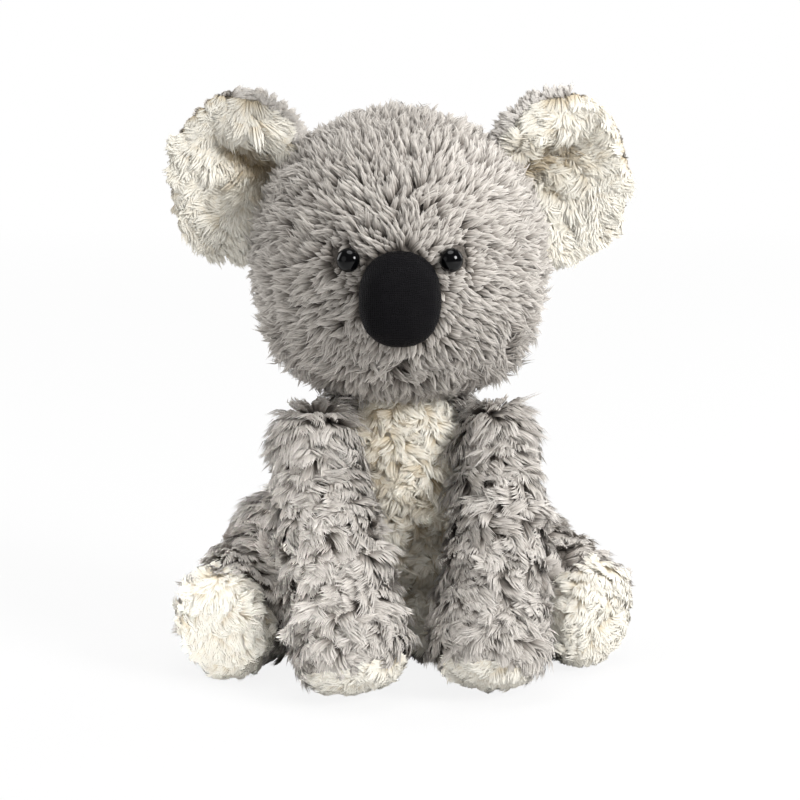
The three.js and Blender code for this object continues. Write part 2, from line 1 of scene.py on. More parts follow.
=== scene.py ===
import bpy
import numpy as np
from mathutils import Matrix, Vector


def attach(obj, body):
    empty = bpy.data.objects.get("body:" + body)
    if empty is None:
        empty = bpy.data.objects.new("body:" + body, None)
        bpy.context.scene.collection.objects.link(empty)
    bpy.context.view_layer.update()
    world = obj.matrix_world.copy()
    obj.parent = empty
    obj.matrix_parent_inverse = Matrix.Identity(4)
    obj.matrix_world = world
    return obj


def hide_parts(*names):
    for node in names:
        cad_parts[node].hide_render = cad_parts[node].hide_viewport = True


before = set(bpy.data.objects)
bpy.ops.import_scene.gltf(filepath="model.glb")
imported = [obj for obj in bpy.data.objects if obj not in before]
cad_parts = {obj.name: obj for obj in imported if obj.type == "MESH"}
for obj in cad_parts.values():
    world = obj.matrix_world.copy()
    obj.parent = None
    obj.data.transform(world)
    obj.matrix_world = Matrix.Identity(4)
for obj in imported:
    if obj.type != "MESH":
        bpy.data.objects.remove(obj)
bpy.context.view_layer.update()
scene = bpy.context.scene
mm = 0.001  # shapes below are in millimetres, meshes in metres
print("frame loaded:", len(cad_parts), "nodes")

# Camera at the photograph's angle, its lens fitted to 800 pixels across
shot = {
    "azimuth": -7,  # degrees, to the toy's right
    "elevation": 10,
    "distance": 1500,
    "target": (1.03, -0.13, 134.4),
    "pixel": 0.52,  # mm on the toy for each pixel
    "pixels": 800,
}


def makeCamera(s):
    data = bpy.data.cameras.new("camera")
    camera = bpy.data.objects.new("camera", data)
    scene.collection.objects.link(camera)
    data.sensor_width = 36
    data.lens = data.sensor_width * s["distance"] / (s["pixel"] * s["pixels"])
    turn, tilt = np.radians([s["azimuth"], s["elevation"]])
    back = np.array([np.sin(turn) * np.cos(tilt), -np.cos(turn) * np.cos(tilt), np.sin(tilt)])
    camera.location = (np.array(s["target"]) + back * s["distance"]) * mm
    camera.rotation_euler = (np.pi / 2 - tilt, 0, turn)
    data.clip_end = 50
    scene.camera = camera


makeCamera(shot)
print("camera set")


# Small helpers on whole arrays
def unit(a):
    return a / np.maximum(np.linalg.norm(a, axis=-1, keepdims=True), 1e-9)


def dot(a, b):
    return (a * b).sum(-1, keepdims=True)


def ease(x, low, high):
    t = np.clip((x - low) / (high - low), 0, 1)
    return t * t * (3 - 2 * t)


def drift(p, span, seed):
    # Smooth noise about 0: sine waves of about this span, in mm, in random directions
    rng = np.random.default_rng(seed)
    ways = unit(rng.normal(size=(8, 3))) * (2 * np.pi / span) * rng.uniform(0.6, 1.5, (8, 1))
    return np.sin(p @ ways.T + rng.uniform(0, 2 * np.pi, 8)).sum(-1) / 2.8


def turned(p, degrees):
    # Points turned about the upright axis
    c, s = np.cos(np.radians(degrees)), np.sin(np.radians(degrees))
    return np.stack([c * p[..., 0] - s * p[..., 1], s * p[..., 0] + c * p[..., 1], p[..., 2]], -1)


def asPlaced(p):
    return p


# Head: an egg whose rings get squarer below the middle, pushed out a little behind the nose
head = {
    "half": (76, 72, 76),
    "middle": (0, -8, 211),
    "turn": -7,
    "cheek": 0.26,
    "muzzle": 5,
    "muzzleSpan": 42,
    "noseDrop": 12,
}


def headPoint(u, v, inset=0):
    # u climbs from pole to pole, v goes round from the face; ring = cos(latitude) to a power under 1 below
    latitude = np.pi * (np.clip(u, 0, 1) - 0.5)
    rise = np.sin(latitude)
    power = 1 - head["cheek"] * ease(-rise, -0.4, 0.55) * (1 - ease(-rise, 0.7, 1) / 2)
    ring = np.maximum(np.cos(latitude), 0) ** power
    a, b, c = head["half"]
    x = (a - inset) * ring * np.sin(2 * np.pi * v)
    y = -(b - inset) * ring * np.cos(2 * np.pi * v)
    z = (c - inset) * rise
    apart = np.hypot(x, z + head["noseDrop"]) / head["muzzleSpan"]
    y = y - head["muzzle"] * np.maximum(0, -y / b) * np.exp(-apart ** 2)
    return np.stack([x, y, z], -1)


def headPlace(p):
    return turned(p, head["turn"]) + np.array(head["middle"])


def toHead(p):
    return turned(p - np.array(head["middle"]), -head["turn"])


def insideHead(p):
    # Depth below the pile's surface, about, in mm
    q = toHead(p)
    return (1 - np.linalg.norm(q / np.array(head["half"]), axis=-1)) * head["half"][0]


# Folds between the tiers of the long pile, as on the solids
fold = {
    "spacing": 22,
    "depth": 3.2,
    "inset": 0.4,
    "wander": 6,
    "phase": 0.1,
    "fade": 0.15,
    "floor": 30,
    "limbWaves": 3,
    "bodyWaves": 5,
}
floorGap = 0.6  # mm, between the cloth and the floor


def tierAt(distance, wave):
    # Tiers passed at a distance along a form, straying as the angle round it times its waves goes on
    return (distance + fold["wander"] * np.sin(wave)) / fold["spacing"]


def foldAt(distance, wave):
    swing = np.cos(2 * np.pi * (tierAt(distance, wave) - fold["phase"]))
    return fold["inset"] + fold["depth"] / 2 * (1 + swing)


# Body: an egg that leans forward as it rises and sits flat
torso = {"half": (65, 62), "up": 112, "down": 62, "lift": 46, "back": 12, "lean": 22}


def bodyPoint(u, v, inset=0):
    # u climbs from the seat to the neck, v goes round from the belly
    latitude = np.pi * (np.clip(u, 0, 1) - 0.5)
    rise, ring = np.sin(latitude), np.maximum(np.cos(latitude), 0)
    z = np.where(rise > 0, torso["up"] - inset, torso["down"] - inset) * rise
    lift = z + torso["lift"]
    deep = foldAt(-lift, fold["bodyWaves"] * 2 * np.pi * v) - fold["inset"]
    inset = inset + fold["inset"] + deep * ease(lift, 0, fold["floor"])
    x = (torso["half"][0] - inset) * ring * np.sin(2 * np.pi * v)
    y = -(torso["half"][1] - inset) * ring * np.cos(2 * np.pi * v)
    y = y + torso["back"] - torso["lean"] * (np.maximum(0, z) / torso["up"]) ** 2
    return np.stack([x, y, np.maximum(lift, floorGap + inset)], -1)


def insideBody(p):
    z = p[..., 2] - torso["lift"]
    y = p[..., 1] - torso["back"] + torso["lean"] * (np.maximum(0, z) / torso["up"]) ** 2
    reach = np.where(z > 0, torso["up"], torso["down"])
    far = np.sqrt((p[..., 0] / torso["half"][0]) ** 2 + (y / torso["half"][1]) ** 2 + (z / reach) ** 2)
    return (1 - far) * torso["half"][1]


# Limbs: a round root, rings along a spine and a blunt tip
def armForm(sign):
    form = {
        "spine": [(sign * 46.7, -28, 115), (sign * 43, -63, 80), (sign * 33.5, -92, 27.5)],
        "sizes": [(47, 47), (56, 53), (63, 60)],
        "sideways": (1, 0, 0),
        "tip": 25,
        "blunt": 0.75,
        "sole": 17,
        "soleName": "paw_sole",
        "soleLocks": 2300,
        "soleTurn": 0,
        "soleMore": -5,  # how much farther back the cream pile starts than the seam, in mm
        "rootPile": (1.6, 42, 1.25),  # its length on the root, how far that goes, and less of it outside
        "pileDeep": 12,  # how deep it grows in the body, where the limb comes out as it moves
    }
    return dict(form, length=spineLength(form))


def legForm(sign):
    # A straight spine, 72 mm long over the floor and 38 degrees outwards
    out, ahead = 72 * np.sin(np.radians(38)), 72 * np.cos(np.radians(38))
    hip = np.array([sign * 50, 12, 43.5])
    foot = np.array([sign * (50 + out), 12 - ahead, 30])
    form = {
        "spine": [hip, (hip + foot) / 2, foot],
        "sizes": [(92, 92), (73, 73), (65, 58)],
        "sideways": (0, 0, 1),
        "tip": 17,
        "blunt": 0.6,
        "sole": 12,
        "soleName": "foot_sole",
        "soleLocks": 2500,
        "soleTurn": -16 * sign,  # degrees, towards the front
        "soleMore": 6,
        "rootPile": (1.3, 14, 0),
        "pileDeep": 11,
    }
    return dict(form, length=spineLength(form))


def alongSpine(points, s):
    # Spline through three points with even tension; gives places and directions
    p = np.array(points, float)
    p = np.vstack([2 * p[0] - p[1], p, 2 * p[2] - p[1]])
    gap = np.linalg.norm(np.diff(p, axis=0), axis=1) ** 0.5
    place, way = np.zeros(s.shape + (3,)), np.zeros(s.shape + (3,))
    for leg in (0, 1):
        x0, x1, x2, x3 = p[leg:leg + 4]
        d0, d1, d2 = gap[leg:leg + 3]
        t1 = d1 * ((x1 - x0) / d0 - (x2 - x0) / (d0 + d1) + (x2 - x1) / d1)
        t2 = d1 * ((x2 - x1) / d1 - (x3 - x1) / (d1 + d2) + (x3 - x2) / d2)
        w = (s * 2 - leg)[..., None]
        c2, c3 = -3 * x1 + 3 * x2 - 2 * t1 - t2, 2 * x1 - 2 * x2 + t1 + t2
        mine = ((s < 0.5) if leg == 0 else (s >= 0.5))[..., None]
        place = np.where(mine, x1 + w * (t1 + w * (c2 + w * c3)), place)
        way = np.where(mine, t1 + w * (2 * c2 + 3 * w * c3), way)
    return place, unit(way)


def sizesAlong(sizes, s):
    a, b, c = np.array(sizes, float)
    w = (s * 2 % 1)[..., None]
    h00, h10 = 2 * w ** 3 - 3 * w ** 2 + 1, w ** 3 - 2 * w ** 2 + w
    h01, h11 = 3 * w ** 2 - 2 * w ** 3, w ** 3 - w ** 2
    mid = (c - a) / 2
    first = h00 * a + h10 * (b - a) / 2 + h01 * b + h11 * mid
    second = h00 * b + h10 * mid + h01 * c + h11 * (c - b) / 2
    return np.where((s < 0.5)[..., None], first, np.where((s >= 1)[..., None], c, second))


def spineLength(form):
    places, _ = alongSpine(form["spine"], np.linspace(0, 1, 200))
    return np.linalg.norm(np.diff(places, axis=0), axis=1).sum()


def limbParts(u):
    # The root swells until u is 0.2, the spine goes on to 0.76 and the tip rounds off: what is left of the
    # root, and what is passed of the spine and the tip
    return np.clip(1 - u / 0.2, 0, 1), np.clip((u - 0.2) / 0.56, 0, 1), np.clip((u - 0.76) / 0.24, 0, 1)


def limbPoint(form, u, v, inset=0):
    # u runs from root to tip, v goes round: ellipses across the spine, drawn in at both ends by cosines
    root, s, tip = limbParts(np.clip(u, 0, 1))
    a, b = np.pi / 2 * root, np.pi / 2 * tip
    deep = foldAt(s * form["length"], fold["limbWaves"] * 2 * np.pi * v)
    deep = deep * ease(np.minimum(s, 1 - s), 0, fold["fade"])
    middle, way = alongSpine(form["spine"], s)
    side = np.array(form["sideways"], float)
    across = unit(side - dot(way, side) * way)
    up = np.cross(way, across)
    size = sizesAlong(form["sizes"], s) / 2 - inset - deep[..., None]
    ring = np.cos(a) * np.maximum(np.cos(b), 0) ** form["blunt"]
    reach = (form["tip"] - inset) * np.sin(b) - (form["sizes"][0][0] / 2 - inset) * np.sin(a)
    p = middle + way * reach[..., None]
    p = p + across * (size[..., 0] * ring * np.cos(2 * np.pi * v))[..., None]
    p = p + up * (size[..., 1] * ring * np.sin(2 * np.pi * v))[..., None]
    p[..., 2] = np.maximum(p[..., 2], floorGap + inset)
    return p


def limbTier(form, u, v):
    root, s, tip = limbParts(u)
    past = form["tip"] * tip - 20 * root  # mm, beyond the spine's ends
    return tierAt(s * form["length"] + past, fold["limbWaves"] * 2 * np.pi * v)


def beyondSole(form, p):
    # Distance past the border of the sole's cream pile, in mm
    end, way = alongSpine(form["spine"], np.array([1.0]))
    border = form["tip"] - form["sole"] - form["soleMore"]
    return dot(p - end[0], turned(way[0], form["soleTurn"]))[..., 0] - border


# Ears: a disc, cupped towards the front, with its upper rim rolled over
ear = {
    "length": 90,
    "width": 73,
    "thick": 15,
    "angle": 28,
    "tilt": 11,
    "standOff": 15,
    "back": 10,
    "cupStart": 0.3,
    "cup": 55,
    "curl": 30,
    "curlAngle": 116,
    "curlSpread": 50,
    "crease": (-31, 8),  # its start, outwards and up from the ear's middle
    "creaseTurn": 15,
    "creaseStart": (-10, 6),  # where roll and dip come in and go out along it
    "creaseEnd": (26, 62),
    "roll": 7,
    "rollAt": (10, 9),  # above the crease, and how wide
    "dip": 9,
    "dipAt": (-7, 9),
    "pileDepth": 4.4,
    "skinDepth": 5,
    "skinRim": 0.94,  # the cloth ends short of the rim, below the pile
}


def earPoint(sign, share, v, height):
    # share runs from the middle to the rim, v round from outwards, height is off the middle sheet
    lon = 2 * np.pi * v
    rim = 0.5 / np.hypot(np.cos(lon) / ear["width"], np.sin(lon) / ear["length"])
    reach, flat = share * rim, ear["cupStart"] * rim
    off = (lon - np.radians(ear["curlAngle"]) + 3 * np.pi) % (2 * np.pi) - np.pi
    curled = np.exp(-(off / np.radians(ear["curlSpread"])) ** 2)  # 1 at the rolled rim
    bend = 1 / ear["cup"] + curled * (1 / ear["curl"] - 1 / ear["cup"])
    turn = bend * np.maximum(0, reach - flat)
    radial = np.minimum(reach, flat) + np.sin(turn) / bend - height * np.sin(turn)
    forward = (1 - np.cos(turn)) / bend + height * np.cos(turn)
    lean, tilt = np.radians(ear["angle"]), np.radians(ear["tilt"])
    far = head["half"][0] + ear["standOff"]
    x = far * np.cos(lean) + radial * (np.cos(lon) * np.cos(tilt) - np.sin(lon) * np.sin(tilt))
    z = far * np.sin(lean) + radial * (np.cos(lon) * np.sin(tilt) + np.sin(lon) * np.cos(tilt))
    return np.stack([sign * x, ear["back"] - forward, z], -1)


def earRelief(u, v):
    # Off the lining, in mm: a roll above a crease that starts at the head, and a dip below it
    lon = 2 * np.pi * v
    rim = 0.5 / np.hypot(np.cos(lon) / ear["width"], np.sin(lon) / ear["length"])
    x, z = u * rim * np.cos(lon) - ear["crease"][0], u * rim * np.sin(lon) - ear["crease"][1]
    c, s = np.cos(np.radians(ear["creaseTurn"])), np.sin(np.radians(ear["creaseTurn"]))
    run, above = c * x + s * z, c * z - s * x
    fade = ease(run, *ear["creaseStart"]) * (1 - ease(run, *ear["creaseEnd"]))
    bump = lambda at, wide: np.exp(-((above - at) / wide) ** 2)
    return ear["roll"] * bump(*ear["rollAt"]) * fade, ear["dip"] * bump(*ear["dipAt"]) * fade


def earFace(sign, face, u, v, inset=0):
    # Height off the ear's middle sheet, nothing at the rim; the back follows most of the dip
    u = np.clip(u, 0, 1)
    roll, dip = earRelief(u, v)
    height = np.maximum(ear["thick"] / 2 - inset, 0)
    height = height + roll - dip if face > 0 else -height - 0.8 * dip
    return earPoint(sign, u, v, height * np.sqrt(np.maximum(1 - u ** 4, 0)))


print("shapes ready")


# Meshes
def putMesh(name, points, faces):
    mesh = bpy.data.meshes.new(name)
    mesh.from_pydata(points.tolist(), [], faces)
    mesh.polygons.foreach_set("use_smooth", np.ones(len(mesh.polygons), bool))
    mesh.update()
    piece = bpy.data.objects.new(name, mesh)
    scene.collection.objects.link(piece)
    return piece


def shell(name, surface, place, rings, sides):
    # Closed skin: a pole, rings of points and a pole, turned to face outwards
    u = np.linspace(0, 1, rings + 2)
    ring, side = np.meshgrid(u[1:-1], np.arange(sides) / sides, indexing="ij")
    ends = surface(np.array([0.0, 1.0]), np.array([0.0, 0.0]))
    points = place(np.vstack([ends[:1], surface(ring, side).reshape(-1, 3), ends[1:]])) * mm
    k = 1 + np.arange(rings * sides).reshape(rings, sides)
    n = np.roll(k, -1, axis=1)
    quads = np.stack([k[:-1], n[:-1], n[1:], k[1:]], -1).reshape(-1, 4)
    first = np.stack([np.zeros(sides, int), n[0], k[0]], -1)
    last = np.stack([np.full(sides, len(points) - 1), k[-1], n[-1]], -1)
    corners = points[np.vstack([quads[:, :3], quads[:, [0, 2, 3]], first, last])]
    volume = (corners[:, 0] * np.cross(corners[:, 1], corners[:, 2])).sum()
    faces = [f if volume > 0 else f[::-1] for f in quads.tolist() + first.tolist() + last.tolist()]
    return putMesh(name, points, faces)


# Materials
def newMaterial(name):
    material = bpy.data.materials.new(name)
    material.use_nodes = True
    nodes = material.node_tree.nodes
    return material, nodes, nodes["Principled BSDF"]


def ramp(nodes, stops):
    node = nodes.new("ShaderNodeValToRGB")
    for k, (place, colour) in enumerate(stops):
        stop = node.color_ramp.elements[k] if k < 2 else node.color_ramp.elements.new(place)
        stop.position, stop.color = place, (*colour, 1)
    return node


def join(start, output, end, entry):
    start.id_data.links.new(start.outputs[output], end.inputs[entry])


def setInputs(node, values):
    for name, value in values.items():
        node.inputs[name].default_value = value


def fromScreen(*rgb):
    # A colour as seen on a screen, 0 to 255, as the shader's own numbers
    c = np.array(rgb) / 255
    return tuple(np.where(c <= 0.04045, c / 12.92, ((c + 0.055) / 1.055) ** 2.4))


# Roots darker than tips: partly the pile's own colour, partly painted shade deep in the pile
pileColours = {  # stops from root to tip in screen colours, and from dark to light strands as factors
    "grey": {
        "along": [(0, 60, 55, 50), (0.3, 124, 117, 110), (0.62, 188, 182, 175), (1, 232, 227, 221)],
        "tone": [(0, 0.6, 0.59, 0.58), (0.5, 0.9, 0.895, 0.885), (1, 1.08, 1.08, 1.08)],
    },
    # pale: a lighter copy of the grey pile, painted light on the ear backs, which lie in shade
    "pale": {
        "along": [(0, 150, 143, 136), (0.3, 180, 174, 167), (0.62, 207, 202, 196), (1, 229, 225, 219)],
        "tone": [(0, 0.8, 0.79, 0.78), (0.5, 0.93, 0.925, 0.92), (1, 1.04, 1.04, 1.04)],
    },
    "cream": {
        "along": [(0, 212, 196, 167), (0.3, 232, 222, 202), (0.6, 243, 238, 226), (1, 249, 247, 239)],
        # The dark, warm low end of the tone is for painted shade in the ear's dip
        "tone": [(0, 0.5, 0.42, 0.31), (0.3, 0.86, 0.83, 0.78), (0.55, 0.96, 0.955, 0.94), (1, 1, 1, 1)],
    },
}


def pileMaterial(name, colours):
    # Colour from the root to the tip, times a tone for each strand
    material, nodes, shader = newMaterial(name)
    uv = nodes.new("ShaderNodeUVMap")
    uv.uv_map = "OFBake"
    split = nodes.new("ShaderNodeSeparateXYZ")
    along = ramp(nodes, [(x, fromScreen(*c)) for x, *c in colours["along"]])
    tone = ramp(nodes, [(x, c) for x, *c in colours["tone"]])
    mix = nodes.new("ShaderNodeMix")
    mix.data_type, mix.blend_type = "RGBA", "MULTIPLY"
    setInputs(mix, {"Factor": 1})
    join(uv, "UV", split, 0)
    join(split, "Y", along, 0)
    join(split, "X", tone, 0)
    join(along, 0, mix, 6)
    join(tone, 0, mix, 7)
    join(mix, 2, shader, "Base Color")
    setInputs(shader, {"Roughness": 0.75, "Specular IOR Level": 0.25})
    setInputs(shader, {"Sheen Weight": 0.15, "Sheen Roughness": 0.5})
    return material


def backingMaterial(name):
    # Knitted backing under the pile: grey or cream by the piece's own tint, with a fine grain
    material, nodes, shader = newMaterial(name)
    where = nodes.new("ShaderNodeTexCoord")
    grain = nodes.new("ShaderNodeTexNoise")
    setInputs(grain, {"Scale": 900, "Detail": 2})
    tint = nodes.new("ShaderNodeAttribute")
    tint.attribute_name = "tint"
    dark = ramp(nodes, [(0.3, fromScreen(84, 79, 74)), (0.7, fromScreen(116, 110, 104))])
    pale = ramp(nodes, [(0.3, fromScreen(190, 179, 158)), (0.7, fromScreen(220, 212, 196))])
    mix = nodes.new("ShaderNodeMix")
    mix.data_type = "RGBA"
    join(where, "Object", grain, "Vector")
    join(grain, "Fac", dark, 0)
    join(grain, "Fac", pale, 0)
    join(tint, "Fac", mix, "Factor")
    join(dark, 0, mix, 6)
    join(pale, 0, mix, 7)
    join(mix, 2, shader, "Base Color")
    setInputs(shader, {"Roughness": 0.95, "Specular IOR Level": 0.1})
    return material


greyPile = pileMaterial("grey_pile", pileColours["grey"])
# A lighter copy of the grey pile: painted light for the ear backs and their edge
greyPilePaintedLight = pileMaterial("grey_pile_painted_light", pileColours["pale"])
creamPile = pileMaterial("cream_pile", pileColours["cream"])
backing = backingMaterial("pile_backing")
print("materials ready")


def dress(piece, body, material, nodes=()):
    # Material, body and the CAD nodes it stands for
    piece.data.materials.append(material)
    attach(piece, body)
    if nodes:
        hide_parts(*nodes)


def tintSkin(piece, cream):
    # Marks where the cloth is cream: 0 grey, 1 cream
    p = np.empty(len(piece.data.vertices) * 3, np.float32)
    piece.data.vertices.foreach_get("co", p)
    mark = piece.data.attributes.new("tint", "FLOAT", "POINT")
    mark.data.foreach_set("value", cream(p.reshape(-1, 3) / mm).astype(np.float32))


# Stuffed skins below the pile
skin = {"depth": 6.2, "fill": 0.85, "earFill": 0.3}
belly = {"half": 39, "widen": 7, "low": 46, "high": 158, "foot": 34, "bottom": 12, "outside": -20}
belly.update(side=12, collar=22, collarAt=(95, 140))  # how far round it reaches, less at the neck


def bellyEdge(p):
    # Distance inside the cream panel's outline on the front, in mm: straight sides that close to a round foot
    b, z = belly, p[..., 2]
    half = b["half"] + (np.clip(z, b["low"], b["high"]) - b["low"]) / (b["high"] - b["low"]) * b["widen"]
    low = np.clip((b["low"] - z) / b["foot"], 0, 1)
    half = half * np.sqrt(np.maximum(1 - low ** 2, 0))
    inside = half - np.abs(p[..., 0])
    front = p[..., 1] < torso["back"] - b["side"] - b["collar"] * ease(z, *b["collarAt"])
    return np.where(front & (z >= b["bottom"]), inside, b["outside"])


def earSheet(sign, u, v):
    # Front from the middle to just inside the rim, then the back to its middle
    share = ear["skinRim"] * (1 - np.abs(2 * u - 1))
    front, back = (earFace(sign, face, share, v, ear["skinDepth"]) for face in (1, -1))
    return np.where((u < 0.5)[..., None], front, back)


def makeSkins():
    d = skin["depth"]
    headSkin = shell("head_skin", lambda u, v: headPoint(u, v, d), headPlace, 60, 96)
    tintSkin(headSkin, lambda p: np.zeros(len(p)))
    dress(headSkin, "head", backing, ("head_cover", "head_stuffing"))
    bodySkin = shell("body_skin", lambda u, v: bodyPoint(u, v, d), asPlaced, 60, 80)
    tintSkin(bodySkin, lambda p: ease(bellyEdge(p), -2, 2))
    dress(bodySkin, "torso", backing, ("body_cover", "body_stuffing"))
    for side, sign in (("left", 1), ("right", -1)):
        for limb, form in (("arm", armForm(sign)), ("leg", legForm(sign))):
            piece = shell(f"{side}_{limb}_skin", lambda u, v: limbPoint(form, u, v, d), asPlaced, 50, 56)
            tintSkin(piece, lambda p: ease(beyondSole(form, p), -2, 2))
            nodes = (f"{side}_{limb}_cover", f"{side}_{limb}_stuffing")
            dress(piece, f"{side}_{limb}", backing, nodes)
        piece = shell(f"{side}_ear_skin", lambda u, v: earSheet(sign, u, v), headPlace, 41, 64)
        tintSkin(piece, lambda p: np.ones(len(p)))
        dress(piece, f"{side}_ear", backing, (f"{side}_ear_back",))


makeSkins()
print("skins made")


# Pile: locks spread evenly on a surface, each a rounded leaf of strands with a top and an under side
sections = 2  # cross-sections of a strand before its point
along = np.array([0, 0.66, 1])  # where they are
girth = np.array([0.8, 1, 0])  # share of the strand's width there
strandThickness = 0.2  # of its width
pileDepth = 5.4  # of its roots below the outer surface, in mm
goldenStep = 0.6180339887


def spread(surface, count, rng):
    # Even places: u by the running share of area, v by golden-ratio steps
    u, v = np.meshgrid(np.linspace(0, 1, 161), np.linspace(0, 1, 81), indexing="ij")
    p = surface(u, v)
    a = np.linalg.norm(np.cross(p[1:, :-1] - p[:-1, :-1], p[:-1, 1:] - p[:-1, :-1]), axis=-1).sum(1)
    run = np.concatenate([[0], np.cumsum(a)]) / a.sum()
    k = np.arange(count) + 0.5
    share = np.clip((k + rng.uniform(-12, 12, count)) / count, 0, 1)
    around = k * goldenStep + rng.uniform(-0.3, 0.3, count) / count ** 0.5
    return np.interp(share, run, u[:, 0]), around % 1


def surfaceFrame(surface, u, v, face):
    # Places and outward normals by small steps both ways
    e = 1e-3
    u = np.clip(u, 2 * e, 1 - 2 * e)
    p = surface(u, v)
    n = np.cross(surface(u + e, v) - surface(u - e, v), surface(u, v + e) - surface(u, v - e))
    return p, unit(n) * face


def growFur(name, pelt, body, material, seed, nodes=(), parts=1):
    # Each strand starts at its lift, bends to its droop and curls sideways on its way to the tip
    rng = np.random.default_rng(seed)
    u, v = spread(pelt["surface"], pelt["locks"], rng)
    root, out = surfaceFrame(pelt["surface"], u, v, pelt["face"])
    keep = pelt["keep"](root)
    root, out, u, v = root[keep], out[keep], u[keep], v[keep]
    n, k, loose = len(root), pelt["strands"], pelt["loose"]
    flow = pelt["flow"](root)
    flow = unit(flow - dot(flow, out) * out)
    # Tiers: locks near the end of one are short, so the dark roots of the next show below its tips
    phase = pelt["tiers"](root, u, v) + pelt["ragged"] * drift(root, 1.5 * pelt["swirlSpan"], seed + 5)
    tier = np.floor(phase)
    calm = pelt.get("calm", everywhere)(u)
    low = pelt["step"] * np.minimum(calm, 1) * ease(phase - tier, 0.4, 0.72)
    apart = root + tier[:, None] * np.array([137.0, 59, 83])  # each tier strays its own way
    wind = np.radians(pelt["swirl"]) * drift(apart, pelt["swirlSpan"], seed + 1) * calm
    wind = (wind + rng.normal(0, np.radians(pelt["stray"]), n))[:, None]
    way = flow * np.cos(wind) + np.cross(out, flow) * np.sin(wind)
    side = np.cross(out, way)

    def vary(size, inLock, inStrand):
        return size + rng.normal(0, inLock, (n, 1, 1)) + loose * rng.normal(0, inStrand, (n, k, 1))

    # Strands across each lock, shorter and lower towards its edges
    across = (np.linspace(-1, 1, k) + rng.uniform(-0.6, 0.6, (n, k)) / k)[..., None]
    ahead = loose * rng.uniform(-0.5, 0.5, (n, k, 1)) * pelt["lock"]
    patch = 1 + pelt["patch"] * drift(root, pelt["patchSpan"], seed + 2)
    long = pelt["length"] * (pelt["trim"](root) * np.clip(patch, 0.6, 1.4) * (1 - low))[:, None, None]
    long = long * (1 - 0.25 * across ** 2) * np.clip(vary(1, 0.08, pelt["fray"]), 0.5, 1.5)
    lift, droop = np.radians(vary(pelt["lift"], 6, 4)), np.radians(vary(pelt["droop"], 7, 5))
    lift = lift * (0.3 + 0.7 * np.minimum(pelt["trim"](root), 1))[:, None, None]
    curl = drift(apart, 0.6 * pelt["swirlSpan"], seed + 3)[:, None, None] + rng.normal(0, 0.3, (n, 1, 1))
    curl = np.radians(vary(0, 0, 8)) + np.radians(pelt["curl"]) * curl
    mid = (along[1:] + along[:-1]) / 2
    a = (lift + (droop - lift) * mid)[..., None]
    b = (curl * mid)[..., None]
    out4, way4, side4 = (x[:, None, None, :] for x in (out, way, side))
    step = np.cos(a) * (np.cos(b) * way4 + np.sin(b) * side4) + np.sin(a) * out4
    run = np.cumsum(step * np.diff(along)[:, None], 2) * long[..., None]
    run = np.concatenate([np.zeros((n, k, 1, 3)), run], 2)
    fan = 0.62 + 0.38 * np.sin(np.pi * 0.8 * along) - pelt["gather"] * along ** 3  # the lock's width along it
    line = root[:, None, None, :] + run + side4 * (pelt["lock"] / 2 * across[..., None]) * fan[:, None]
    line = line + way4 * ahead[..., None] - out4 * pelt["hump"] * across[..., None] ** 2
    # Ribbons, rolled over towards the lock's edges
    roll = (0.7 * across + loose * rng.normal(0, 0.3, (n, k, 1)))[..., None]
    face = out4 * np.cos(roll) + side4 * np.sin(roll)
    tangent = unit(np.concatenate([step, step[:, :, -1:]], 2))
    broad = unit(np.cross(tangent, face))
    wide = pelt["strand"] / 2 * girth[:, None] * rng.uniform(0.85, 1.15, (n, k, 1, 1))
    top = unit(face - dot(face, tangent) * tangent)
    thick = top * pelt["strand"] * strandThickness * girth[:, None]

    def strip(middle, half):
        # Left and right edges by turns, then the point
        edges = np.stack([middle - half, middle + half], 3)[:, :, :-1].reshape(n, k, -1, 3)
        return np.concatenate([edges, middle[:, :, -1:]], 2)

    points = np.concatenate([strip(line, broad * wide), strip(line - thick, -broad * wide)], 1)
    # Normals lean towards the coat's own, so that it shades as one soft mass. Under sides face the way it
    # lies, and straight down on a fringe
    soft, fringe = pelt["soft"], pelt.get("fringe", 0)
    over = strip(top * (1 - soft) + out4 * soft, 0.35 * broad)
    under = strip((0.8 * way4 + 0.2 * out4) * (1 - fringe) - (0.35 + fringe) * top, -0.35 * broad)
    coat = unit(np.concatenate([over, under], 1))
    coat = pelt["place"](points + coat) - pelt["place"](points)
    points = pelt["place"](points)
    points[..., 2] = np.maximum(points[..., 2], 0.35)  # clear of the floor
    # Tone of each strand across the map, root to tip up it
    tone = pelt["tone"] + 0.1 * rng.normal(size=(n, 1)) + pelt["streak"] * rng.normal(size=(n, k))
    # Painted shade: locks cut short at the end of a tier are darker, in the fold between tiers; each pelt's
    # shade adds painted shade, or painted light where it is below 0; the drift is the strands' own random
    # tone
    tone = tone + (0.1 * drift(root, 60, seed + 4) - 0.25 * low - pelt["shade"](u, v))[:, None]
    tone = np.tile(np.clip(tone, 0.03, 0.97), (1, 2))
    for part, rows in enumerate(np.array_split(np.arange(n), parts)):
        title = name if parts == 1 else f"{name}_{part + 1}"
        piece = strandMesh(title, points[rows], coat[rows], tone[rows])
        dress(piece, body, material, nodes if part == 0 else ())
    print(name, n, "locks", 2 * n * k * (2 * sections - 1), "triangles")


